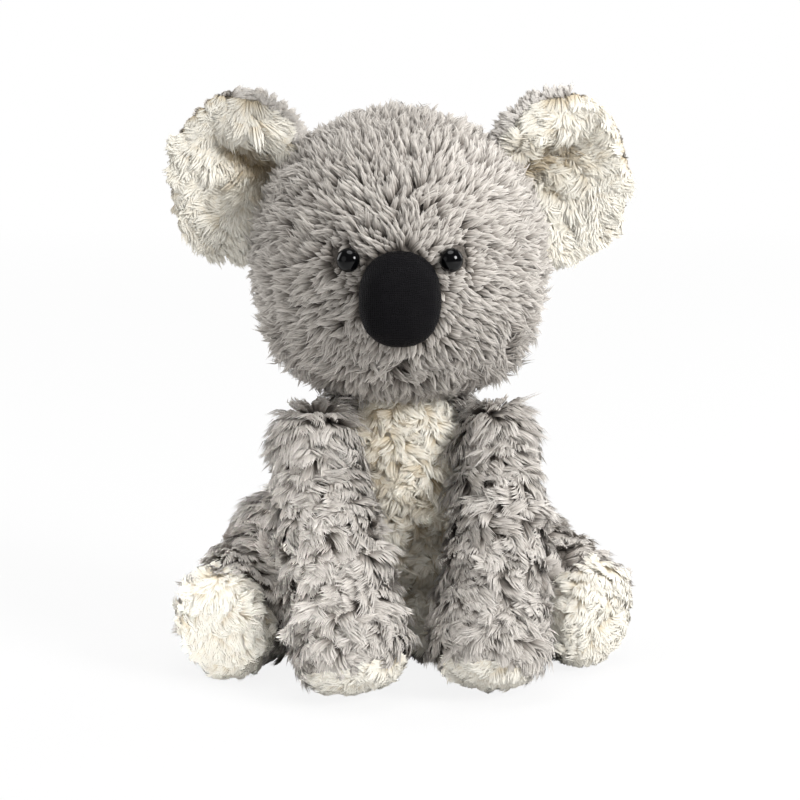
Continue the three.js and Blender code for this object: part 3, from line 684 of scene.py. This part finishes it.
def strandMesh(name, points, coat, tone):
    # Each side of a strand is a strip of quads that ends in a triangle; its map holds tone across, place up
    count, each = points.shape[0] * points.shape[1], points.shape[2]
    k = np.arange(0, each - 3, 2)[:, None]
    quads = (k + np.array([0, 1, 3, 2])).ravel()
    loops = np.concatenate([quads, [each - 3, each - 2, each - 1]])
    verts = (np.arange(count)[:, None] * each + loops).ravel()
    sizes = np.tile([4] * (sections - 1) + [3], count)
    mesh = bpy.data.meshes.new(name)
    mesh.vertices.add(count * each)
    mesh.vertices.foreach_set("co", (points * mm).astype(np.float32).ravel())
    mesh.loops.add(len(verts))
    mesh.loops.foreach_set("vertex_index", verts.astype(np.int32))
    mesh.polygons.add(len(sizes))
    mesh.polygons.foreach_set("loop_start", np.concatenate([[0], np.cumsum(sizes)[:-1]]).astype(np.int32))
    mesh.polygons.foreach_set("use_smooth", np.ones(len(sizes), bool))
    up = np.append(np.repeat(along[:-1], 2), 1)[loops] * 0.96 + 0.02
    aside = np.append(np.tile([-0.01, 0.01], sections), 0)[loops]
    uv = np.stack([np.repeat(tone.ravel(), len(loops)) + np.tile(aside, count), np.tile(up, count)], -1)
    mesh.uv_layers.new(name="OFBake").data.foreach_set("uv", uv.astype(np.float32).ravel())
    normals = mesh.attributes.new("custom_normal", "FLOAT_VECTOR", "POINT")
    normals.data.foreach_set("vector", coat.astype(np.float32).ravel())
    mesh.update(calc_edges=True)
    piece = bpy.data.objects.new(name, mesh)
    scene.collection.objects.link(piece)
    return piece


def everywhere(p):
    return np.ones(len(p))


def unshaded(u, v):
    return np.zeros(len(u))


# Head pile: strokes away from the nose, then down the back
headPile = {
    "locks": 11500, "strands": 7, "lock": 2.9, "strand": 0.78, "length": 12.5, "lift": 60, "droop": 2,
    "loose": 0.3, "gather": 0.3, "hump": 0.6, "curl": 20, "swirl": 24, "swirlSpan": 26, "stray": 9,
    "patch": 0.12, "patchSpan": 14, "ragged": 0.8, "step": 0.42, "fray": 0.3, "soft": 0.4, "tone": 0.5,
    "streak": 0.1,
}
eyeSpots = np.array([(26, 6.5), (-26, 6.5)])
faceGap = {"nose": (18.8, 22.2), "power": 2.3, "eye": 6.4, "neck": 4}  # where no pile grows
noseHalf = (20.5, 24)


def faceAway(p):
    d = unit(p)
    centre = unit(np.array([0, -1.0, 0.02]))
    away = dot(d, centre) * d - centre  # along the surface
    back = 1 - ease(dot(d, centre), -0.6, 0.2)
    return unit(away) * (1 - back) + np.array([0, 0, -1.0]) * back


def fromEyes(p):
    return np.min(np.hypot(p[:, :1] - eyeSpots[:, 0], p[:, 2:] - eyeSpots[:, 1]), 1)


def onFaceClear(p):
    # False under the nose pad, under the eyes and inside the neck
    front = p[:, 1] < 0
    across, up = np.abs(p[:, 0]) / faceGap["nose"][0], np.abs(p[:, 2] + head["noseDrop"]) / faceGap["nose"][1]
    nose = across ** faceGap["power"] + up ** faceGap["power"] < 1
    eye = fromEyes(p) < faceGap["eye"]
    return ~(front & (nose | eye)) & (insideBody(headPlace(p)) < faceGap["neck"])


def faceTrim(p):
    # Short round eyes and nose, a little shorter under the chin, fuller on the cheeks
    eye = fromEyes(p)
    nose = np.hypot(p[:, 0] / noseHalf[0], (p[:, 2] + head["noseDrop"]) / noseHalf[1])
    front = ease(-p[:, 1], 0, 30)
    short = (0.5 + 0.5 * ease(eye, 6, 14)) * (0.72 + 0.28 * ease(nose, 1, 1.6))
    cheek = 0.4 * ease(np.abs(p[:, 0]), 26, 48) * ease(-p[:, 2], 22, 46)
    return (1 + (short - 1) * front) * (1 - 0.12 * ease(-p[:, 2], 40, 62) + cheek)


def fromNose(p):
    return np.arccos(np.clip(-unit(p)[:, 1], -1, 1)) * head["half"][0]


headPile.update(
    surface=lambda u, v: headPoint(u, v, pileDepth), face=-1, place=headPlace,
    keep=onFaceClear, flow=faceAway, trim=faceTrim,
    # Painted shade: darker under the head, on the chin and lower cheeks
    shade=lambda u, v: 0.34 * (1 - ease(u, 0.16, 0.48)),  # darker below
    calm=lambda u: 2 - ease(u, 0.2, 0.5),  # wilder below
    tiers=lambda p, u, v: fromNose(p) / 9 + 0.5,
)
growFur("head_pile", headPile, "head", greyPile, 11, parts=3)

# Body pile: hangs down; cream on the belly panel
bodyPile = {
    "locks": 3600, "strands": 12, "lock": 5.6, "strand": 0.85, "length": 13, "lift": 50, "droop": -14,
    "loose": 0.3, "gather": -0.1, "hump": 0.8, "curl": 34, "swirl": 40, "swirlSpan": 30, "stray": 10,
    "patch": 0.15, "patchSpan": 18, "ragged": 0.3, "step": 0.35, "fray": 0.3, "soft": 0.45, "tone": 0.55,
    "streak": 0.1, "shade": unshaded,
}


def downwards(p):
    a, b = torso["half"]
    x, y = 0.5 * p[..., 0] / a, 0.5 * (p[..., 1] - torso["back"]) / b
    return np.stack([x, y, np.full(p.shape[:-1], -1.0)], -1)


def shownBody(p):
    return (insideHead(p) < 6) & (p[:, 2] > -1)


bodyPile.update(
    surface=lambda u, v: bodyPoint(u, v, pileDepth), face=-1, place=asPlaced, flow=downwards,
    trim=lambda p: 1 + 0.5 * ease(p[:, 2], 100, 135),  # a collar that fills the neck
    keep=lambda p: shownBody(p) & (bellyEdge(p) < 0),
    tiers=lambda p, u, v: tierAt(-p[:, 2], fold["bodyWaves"] * 2 * np.pi * v),
)
growFur("body_pile", bodyPile, "torso", greyPile, 21, parts=2)
bellyPile = dict(bodyPile, locks=5200, strands=14, lock=5.2, strand=0.8, length=10.5, swirl=60, swirlSpan=18)
bellyPile.update(curl=56, step=0.2, soft=0.75, tone=0.38, streak=0.06, trim=everywhere)
bellyPile["keep"] = lambda p: shownBody(p) & (bellyEdge(p) >= 0)
growFur("belly_pile", bellyPile, "torso", creamPile, 22, ("belly_panel",))

# Arm and leg pile: long wavy locks in tiers that run to the paws and feet
# Arms and legs take higher tones than the head: painted light, most on the legs, which lie in the arms' shade
armPile = {
    "locks": 1800, "strands": 18, "lock": 6.4, "strand": 0.7, "length": 14.5, "lift": 46, "droop": -18,
    "loose": 0.26, "gather": -0.2, "hump": 1.1, "curl": 50, "swirl": 60, "swirlSpan": 24, "stray": 9,
    "patch": 0.16, "patchSpan": 18, "ragged": 0.7, "step": 0.44, "fray": 0.32, "soft": 0.42, "tone": 0.78,
    "streak": 0.13,
}
legPile = dict(armPile, locks=1900, length=13, tone=0.96, step=0.2)
# The soles' high tone is painted light
solePile = {
    "strands": 22, "lock": 7, "strand": 0.8, "length": 9.5, "lift": 46, "droop": -24,
    "loose": 0.3, "gather": -0.1, "hump": 1, "curl": 44, "swirl": 60, "swirlSpan": 22, "stray": 10,
    "patch": 0.12, "patchSpan": 14, "ragged": 0.8, "step": 0.12, "fray": 0.3, "soft": 0.85, "tone": 0.8,
    "streak": 0.04, "shade": unshaded,
}
limbFlow = {"root": (0.2, -0.6, -0.9), "lean": (0.3, 0, -0.35), "blend": (-5, 28)}  # outwards, back and up


def alongLimb(form):
    # Forward, out and down over the root, then along the limb
    ends = np.array(form["spine"], float)
    way, mirror = unit(ends[2] - ends[0]), np.array([np.sign(ends[0, 0]), 1, 1])
    start, later = np.array(limbFlow["root"]) * mirror, way + np.array(limbFlow["lean"]) * mirror
    return lambda p: start + (later - start) * ease((p - ends[0]) @ way, *limbFlow["blend"])[:, None]


def coverTrim(form):
    # Longer on the root, where it fills the joint, and shorter next to the sole
    ends = np.array(form["spine"], float)
    way = unit(ends[2] - ends[0])
    most, span, less = form["rootPile"]
    outside = lambda p: ease(np.abs(p[:, 0]), 50, 66)
    root = lambda p: (1 - ease((p - ends[0]) @ way, -14, span)) * (1 - less * outside(p))
    return lambda p: (1 + (most - 1) * root(p)) * (1 - 0.4 * ease(beyondSole(form, p), -14, 0))


def soleFlow(form):
    # Away from the sole's middle, and down
    end, way = alongSpine(form["spine"], np.array([1.0]))
    return lambda p: 0.5 * unit(p - end[0] - way[0] * form["tip"]) + np.array([0, 0, -1.0])


for side, sign in (("left", 1), ("right", -1)):
    for limb, form, pelt, seed in (("arm", armForm(sign), armPile, 31), ("leg", legForm(sign), legPile, 41)):
        body, sole = f"{side}_{limb}", f"{side}_{form['soleName']}"
        cover = dict(pelt, surface=lambda u, v: limbPoint(form, u, v, pileDepth), face=-1, place=asPlaced)
        cover.update(flow=alongLimb(form), trim=coverTrim(form), tiers=lambda p, u, v: limbTier(form, u, v))
        # Painted light: paler on the limb's root, where the shoulders lie in the head's shadow
        cover["shade"] = lambda u, v: 0.25 * ease(u, 0.15, 0.4) - 0.25  # paler on the root
        cover["calm"] = lambda u: 0.2 + 0.8 * ease(u, 0.2, 0.55)
        clear = lambda p: (insideBody(p) < form["pileDeep"]) & (insideHead(p) < 4)
        cover["keep"] = lambda p: clear(p) & (beyondSole(form, p) < 0)
        growFur(f"{body}_pile", cover, body, greyPile, seed + sign)
        pad = dict(cover, **solePile)
        pad.update(locks=form["soleLocks"], flow=soleFlow(form), trim=everywhere)
        pad["tiers"] = lambda p, u, v: -p[:, 2] / 14
        pad["keep"] = lambda p: beyondSole(form, p) >= 0
        growFur(f"{sole}_pile", pad, body, creamPile, seed + 5 + sign, (sole,))

# Ear pile: cream and fluffy inside, grey outside
earPile = {
    "locks": 1000, "strands": 18, "lock": 7, "strand": 0.85, "length": 12.5, "lift": 52, "droop": -18,
    "loose": 0.3, "gather": -0.1, "hump": 1, "curl": 46, "swirl": 55, "swirlSpan": 30, "stray": 10,
    "patch": 0.15, "patchSpan": 14, "ragged": 0.7, "step": 0.2, "fray": 0.3, "soft": 0.8, "tone": 0.62,
    "streak": 0.04,
}
# Ear backs: the high tone is painted light where they lie in shade
earBack = {
    "locks": 900, "strands": 14, "lock": 5, "length": 9, "swirl": 24, "curl": 24, "step": 0.1, "tone": 0.9,
}
earEdge = {"locks": 2200, "strands": 8, "lock": 3}


def liningFlow(sign, p):
    # Down and outwards; forward and inwards over the upper rim, back under the lower one
    up, near = ease(p[:, 2] - 44, -22, 26), 1 - ease(sign * p[:, 0], 70, 95)
    return np.stack([sign * (0.35 - 0.95 * up * near), 0.6 - 1.3 * up, np.full(len(p), -1.0)], -1)


def onEar(sign, p):
    # Distance from the ear's middle over its half sizes, and the angle from outwards in degrees
    lean, far, tilt = np.radians(ear["angle"]), head["half"][0] + ear["standOff"], np.radians(ear["tilt"])
    x, z = sign * p[:, 0] - far * np.cos(lean), p[:, 2] - far * np.sin(lean)
    x, z = np.cos(tilt) * x + np.sin(tilt) * z, np.cos(tilt) * z - np.sin(tilt) * x
    return np.hypot(2 * x / ear["width"], 2 * z / ear["length"]), np.degrees(np.arctan2(z, x))


def rimTrim(sign, p):
    # Shorter towards the rim
    return 1 - 0.35 * ease(onEar(sign, p)[0], 0.6, 0.95)


def overRim(sign, p):
    # 0 on the ear's back, 1 at its rim, where the pile turns outwards and covers the seam
    return ease(onEar(sign, p)[0], 0.62, 0.86)[:, None]


def backFlow(sign, p):
    # Away from the head, then straight out over the rim
    angle = np.radians(onEar(sign, p)[1] + ear["tilt"])
    outwards = np.stack([sign * np.cos(angle), np.full(len(p), -0.1), np.sin(angle)], -1)
    fromHead = np.array([0.9 * sign, 0.2, 0.2])
    free = ease(np.cos(angle), -0.7, -0.1)[:, None]  # 0 where the ear meets the head
    return fromHead + (1.3 * outwards - fromHead) * overRim(sign, p) * free


def onEdge(sign, p):
    # The upper inner edge, where the grey of the back comes round to the front
    far, angle = onEar(sign, p)
    return (far > 0.86 - 0.16 * ease(angle, 70, 130)) & (angle > 70)


def dipShade(u, v):
    # Painted shade: darker in the dip below the roll, and a little in the middle of the cup
    roll, dip = earRelief(u, v)
    return 0.42 * ease(dip / ear["dip"], 0, 1) + 0.1 * (1 - u ** 2)


for side, sign in (("left", 1), ("right", -1)):
    body, deep = f"{side}_ear", ear["pileDepth"]
    clear = lambda p: insideHead(headPlace(p)) < 3
    lining = dict(earPile, surface=lambda u, v: earFace(sign, 1, u, v, deep), face=sign, place=headPlace)
    lining["trim"] = lambda p: rimTrim(sign, p)
    lining["keep"] = lambda p: clear(p) & ~onEdge(sign, p)
    lining["flow"] = lambda p: liningFlow(sign, p)
    lining["tiers"] = lambda p, u, v: -p[:, 2] / 15
    lining["shade"] = dipShade
    growFur(f"{body}_lining_pile", lining, body, creamPile, 51 + sign, (f"{body}_lining",))
    outer = dict(lining, **earBack, shade=unshaded)
    edge = dict(outer, flow=lambda p: np.array([-0.6 * sign, 0.5, 0.7]) + 0 * p)
    edge.update(earEdge, keep=lambda p: clear(p) & onEdge(sign, p))
    growFur(f"{body}_edge_pile", edge, body, greyPilePaintedLight, 57 + sign)
    outer.update(surface=lambda u, v: earFace(sign, -1, 0.97 * u, v, deep), face=-sign, lift=40, fringe=0.9)
    outer.update(trim=lambda p: 1 - 0.62 * overRim(sign, p)[:, 0], keep=clear)
    outer["flow"] = lambda p: backFlow(sign, p)
    growFur(f"{body}_back_pile", outer, body, greyPilePaintedLight, 54 + sign)

# Nose: a black cloth pad, sewn down round its edge and swelled by its filling
nose = {
    "width": 41,
    "height": 48,
    "reach": 11,
    "depth": 9,
    "square": 0.88,
    "blunt": 0.8,
    "taper": 0.03,
    "inset": -0.3,
    "voxel": 1.6,
    "pressure": 4,
    "cap": 1.6,
}
clothRun = {"mass": 0.0005, "stiffness": 0.05, "quality": 6, "steps": 20, "even": 12}  # light and stretchy


def onFace(x, z):
    # Place and outward direction on the face, in the head's own space
    rise = np.arcsin(z / head["half"][2])
    ring = np.cos(rise) ** (1 - head["cheek"] * ease(-np.sin(rise), -0.4, 0.55))
    u, v = np.array([rise / np.pi + 0.5]), np.array([np.arcsin(x / (head["half"][0] * ring)) / (2 * np.pi)])
    p, out = surfaceFrame(headPoint, u, v, -1)
    return p[0], out[0]


def nosePoint(u, v):
    # A dome: u runs from the back to the tip, v round; powers under 1 of cos and sin make it squarer, flatter
    n, lat, lon = nose, np.pi * (u - 0.5), 2 * np.pi * v
    squarer = lambda x: np.sign(x) * np.abs(x) ** n["square"]
    ring, rise = np.maximum(np.cos(lat), 0) ** n["blunt"], np.sin(lat)
    x = (n["width"] / 2 - n["inset"]) * ring * squarer(np.sin(lon))
    z = (n["height"] / 2 - n["inset"]) * ring * squarer(np.cos(lon))
    x = x * (1 - n["taper"] * z / n["height"])
    y = -np.where(rise > 0, n["reach"] - n["inset"], n["depth"]) * rise
    return np.stack([x, y, z], -1) + onFace(0, -head["noseDrop"])[0]


def swell(piece, voxel, pressure, cap, held):
    # Cloth under pressure inside; held points stay and no point moves further than cap
    shrink = piece.modifiers.new("remesh", "REMESH")
    shrink.mode, shrink.voxel_size = "VOXEL", voxel * mm
    view = bpy.context.view_layer.depsgraph
    view.update()
    fine = bpy.data.meshes.new_from_object(piece.evaluated_get(view))
    piece.modifiers.clear()
    piece.data = fine
    start = np.empty(len(fine.vertices) * 3, np.float32)
    fine.vertices.foreach_get("co", start)
    start = start.reshape(-1, 3)
    pins = piece.vertex_groups.new(name="held")
    pins.add(np.flatnonzero(held(start / mm)).tolist(), 1, "REPLACE")
    cloth = piece.modifiers.new("cloth", "CLOTH").settings
    cloth.vertex_group_mass = "held"
    cloth.use_pressure = True
    cloth.uniform_pressure_force = pressure
    cloth.mass = clothRun["mass"]
    for kind in ("tension", "compression", "shear"):
        setattr(cloth, f"{kind}_stiffness", clothRun["stiffness"])
    cloth.effector_weights.gravity = 0
    cloth.quality = clothRun["quality"]
    for step in range(1, clothRun["steps"] + 1):
        scene.frame_set(step)
    view.update()
    moved = np.empty(len(fine.vertices) * 3, np.float32)
    piece.evaluated_get(view).data.vertices.foreach_get("co", moved)
    move = moved.reshape(-1, 3) - start
    far = np.linalg.norm(move, axis=1, keepdims=True)
    end = start + move * np.minimum(1, cap * mm / np.maximum(far, 1e-9))
    piece.modifiers.clear()
    piece.vertex_groups.clear()
    fine.vertices.foreach_set("co", end.astype(np.float32).ravel())
    fine.polygons.foreach_set("use_smooth", np.ones(len(fine.polygons), bool))
    fine.update()
    scene.frame_set(1)
    even = piece.modifiers.new("even", "SMOOTH")
    even.iterations = clothRun["even"]
    finer = piece.modifiers.new("finer", "SUBSURF")
    finer.levels = finer.render_levels = 1
    print(piece.name, "swelled", float(far.max() / mm), "mm,", len(fine.polygons), "faces")


def weaveMaterial(name, low, high, period, sheen):
    # Plain weave: two sets of uneven threads across each other, each a sine over its period in mm
    material, nodes, shader = newMaterial(name)
    where = nodes.new("ShaderNodeTexCoord")
    waves = []
    for way in ("X", "Z"):
        wave = nodes.new("ShaderNodeTexWave")
        wave.bands_direction = way
        setInputs(wave, {"Scale": 0.314 / (period * mm), "Distortion": 6, "Detail": 2})
        join(where, "Object", wave, "Vector")
        waves.append(wave)
    both = nodes.new("ShaderNodeMath")
    both.operation = "MAXIMUM"
    join(waves[0], "Fac", both, 0)
    join(waves[1], "Fac", both, 1)
    colour = ramp(nodes, [(0.5, fromScreen(*low)), (1, fromScreen(*high))])
    join(both, 0, colour, 0)
    join(colour, 0, shader, "Base Color")
    bump = nodes.new("ShaderNodeBump")
    setInputs(bump, {"Strength": 0.8, "Distance": 0.3 * mm})
    join(both, 0, bump, "Height")
    join(bump, 0, shader, "Normal")
    setInputs(shader, {"Roughness": 0.5, "Specular IOR Level": 0.06})
    setInputs(shader, {"Sheen Weight": sheen, "Sheen Roughness": 0.4})
    return material


noseCloth = weaveMaterial("nose_cloth", (0, 0, 0), (21, 20, 23), 0.9, 0)
nosePad = shell("nose_pad", nosePoint, headPlace, 40, 64)
seat = onFace(0, -head["noseDrop"])[0][1]
swell(nosePad, nose["voxel"], nose["pressure"], nose["cap"], lambda p: toHead(p)[:, 1] > seat + 1)
dress(nosePad, "head", noseCloth, ("nose_cover", "nose_stuffing"))

# Eyes: glossy moulded domes, turned about the way they face
eye = {"radius": 6, "dome": 5, "rim": 1.2, "sink": 3, "shank": 2.2, "foot": -12.5}


def grained(name, colour, roughness, grain, gloss=0.5):
    # One colour with a fine grain that lightens it
    material, nodes, shader = newMaterial(name)
    where = nodes.new("ShaderNodeTexCoord")
    noise = nodes.new("ShaderNodeTexNoise")
    setInputs(noise, {"Scale": 400})
    paler = [min(255, c + grain) for c in colour]
    tint = ramp(nodes, [(0.3, fromScreen(*colour)), (0.7, fromScreen(*paler))])
    join(where, "Object", noise, "Vector")
    join(noise, "Fac", tint, 0)
    join(tint, 0, shader, "Base Color")
    setInputs(shader, {"Roughness": roughness, "Specular IOR Level": gloss})
    return material


def lathe(profile, at, axis, sides):
    # A closed profile of radius and height, turned about an axis
    side = unit(np.cross(axis, np.array([0, 0, 1.0])))
    other = np.cross(axis, side)
    turn = 2 * np.pi * np.arange(sides) / sides
    ring = side * np.cos(turn)[:, None] + other * np.sin(turn)[:, None]
    radius, height = np.array(profile, float).T
    points = at + height[:, None, None] * axis + radius[:, None, None] * ring
    k = np.arange(len(profile) * sides).reshape(-1, sides)
    n = np.roll(k, -1, axis=1)
    quads = np.stack([k[:-1], k[1:], n[1:], n[:-1]], -1).reshape(-1, 4)
    return headPlace(points.reshape(-1, 3)) * mm, quads.tolist() + [k[0].tolist(), k[-1][::-1].tolist()]


eyeGloss = grained("black_gloss", (4, 4, 5), 0.07, 2, 0.22)
washerPlastic = grained("white_plastic", (226, 224, 218), 0.45, 8)
for side, sign in (("left", 1), ("right", -1)):
    at, axis = onFace(sign * eyeSpots[0, 0], eyeSpots[0, 1])
    e, turn = eye, np.linspace(np.pi / 2, 0, 15)
    dome = [(max(0.05, e["radius"] * np.cos(a)), e["rim"] - e["sink"] + e["dome"] * np.sin(a)) for a in turn]
    foot = [(e["radius"] * 0.98, -e["sink"]), (e["shank"], -e["sink"]), (e["shank"], e["foot"])]
    piece = putMesh(f"{side}_eye_dome", *lathe(dome + foot, at, axis, 48))
    dress(piece, "head", eyeGloss, (f"{side}_eye",))
    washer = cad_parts[f"{side}_eye_washer"].data.materials
    washer.clear()
    washer.append(washerPlastic)
print("face made")

# Inside: the neck roll and the bean bag in the seat
neckRoll = {"pivot": (0, -8, 188), "ball": 29, "stem": 23, "foot": 88, "round": 12, "join": -17}
pouch = {"half": (37, 37, 12.5), "middle": (0, 12, 21), "square": 0.7, "voxel": 4, "pressure": 4, "cap": 1.5}


def neckPoint(u, v):
    # A soft roll: a ball at the top runs into a stem with a rounded foot
    n = neckRoll
    z = -n["foot"] + u * (n["foot"] + n["ball"])
    ball = np.sqrt(np.maximum(n["ball"] ** 2 - z ** 2, 0))
    rounding = np.clip(1 - (z + n["foot"]) / n["round"], 0, 1)
    stem = n["stem"] * np.sqrt(np.maximum(1 - rounding ** 2, 0))
    r = np.where(z > n["join"], ball, stem)
    p = np.stack([r * np.cos(2 * np.pi * v), r * np.sin(2 * np.pi * v), z], -1)
    return p + np.array(n["pivot"])


def pouchPoint(u, v):
    # A flat cushion: an ellipsoid whose rings are squared off
    lat, lon = np.pi * (u - 0.5), 2 * np.pi * v
    ring = np.maximum(np.cos(lat), 0) ** pouch["square"]
    p = np.stack([ring * np.sin(lon), ring * np.cos(lon), np.sin(lat)], -1)
    return p * np.array(pouch["half"]) + np.array(pouch["middle"])


fibre = grained("white_fibre", (224, 221, 213), 0.95, 16)
cotton = weaveMaterial("pouch_cotton", (190, 181, 160), (214, 206, 188), 1.2, 0.05)
dress(shell("neck_filling", neckPoint, asPlaced, 40, 40), "neck", fibre, ("neck_roll",))
beanPouch = shell("bean_pouch", pouchPoint, asPlaced, 24, 40)
seam = lambda p: np.abs(p[:, 2] - pouch["middle"][2]) < 2
swell(beanPouch, pouch["voxel"], pouch["pressure"], pouch["cap"], seam)
dress(beanPouch, "torso", cotton, ("bean_bag",))
print("inside made")

# Floor, world and lamps
stage = {
    "size": 30,
    "grey": 0.72,
    "world": 0.17,
    "fade": {"From Min": 0.3, "From Max": 2, "To Min": 0.88, "To Max": 1},
}
middle = (0, 0, 0.15)
lamps = (  # name, place, aim, size, power and beam
    ("key", (1.2, -1.25, 1.0), middle, 0.7, 38, 180),
    ("fill", (-1.4, -0.9, 0.6), middle, 1.2, 3, 180),
    ("top", (0, -0.3, 1.8), middle, 1.2, 17, 180),
    ("foot", (-0.6, -0.65, 0.1), (-0.115, -0.05, 0.036), 0.2, 0.072, 12),
    ("left_rim", (1.3, 0.9, 0.7), middle, 1.2, 15, 180),
    ("right_rim", (-1.3, 0.9, 0.7), middle, 1.2, 15, 180),
)


def makeStage():
    corners = np.array([(-1, -1, 0), (1, -1, 0), (1, 1, 0), (-1, 1, 0)], float) * stage["size"]
    floor = putMesh("floor", corners, [[0, 1, 2, 3]])
    material, nodes, shader = newMaterial("pale_floor")
    grey = (stage["grey"],) * 3
    setInputs(shader, {"Base Color": (*grey, 1), "Roughness": 1, "Specular IOR Level": 0})
    glow = nodes.new("ShaderNodeEmission")
    where = nodes.new("ShaderNodeTexCoord")
    far = nodes.new("ShaderNodeVectorMath")
    far.operation = "LENGTH"
    fade = nodes.new("ShaderNodeMapRange")  # shows its shading round the toy and runs out to white
    setInputs(fade, stage["fade"])
    path = nodes.new("ShaderNodeLightPath")
    share = nodes.new("ShaderNodeMath")
    share.operation = "MULTIPLY"
    mix = nodes.new("ShaderNodeMixShader")
    join(where, "Object", far, 0)
    join(far, "Value", fade, "Value")
    join(path, "Is Camera Ray", share, 0)
    join(fade, "Result", share, 1)
    join(share, 0, mix, 0)
    join(shader, 0, mix, 1)
    join(glow, 0, mix, 2)
    join(mix, 0, nodes["Material Output"], 0)
    floor.data.materials.append(material)
    world = bpy.data.worlds.new("studio")
    scene.world = world
    world.use_nodes = True
    nodes = world.node_tree.nodes
    soft = nodes["Background"]
    setInputs(soft, {"Strength": stage["world"], "Color": (1, 1, 1, 1)})
    white = nodes.new("ShaderNodeBackground")
    setInputs(white, {"Strength": 1, "Color": (1, 1, 1, 1)})
    path = nodes.new("ShaderNodeLightPath")
    mix = nodes.new("ShaderNodeMixShader")
    join(path, "Is Camera Ray", mix, 0)
    join(soft, 0, mix, 1)
    join(white, 0, mix, 2)
    join(mix, 0, nodes["World Output"], 0)


def addLamp(name, place, aim, size, power, beam):
    data = bpy.data.lights.new(name, "AREA")
    data.spread = np.radians(beam)
    data.shape, data.size, data.energy = "DISK", size, power
    lamp = bpy.data.objects.new(name, data)
    scene.collection.objects.link(lamp)
    lamp.location = place
    lamp.rotation_euler = (Vector(aim) - Vector(place)).to_track_quat("-Z", "Y").to_euler()


makeStage()
for lamp in lamps:
    addLamp(*lamp)
scene.view_settings.view_transform = "Standard"
print("stage lit")
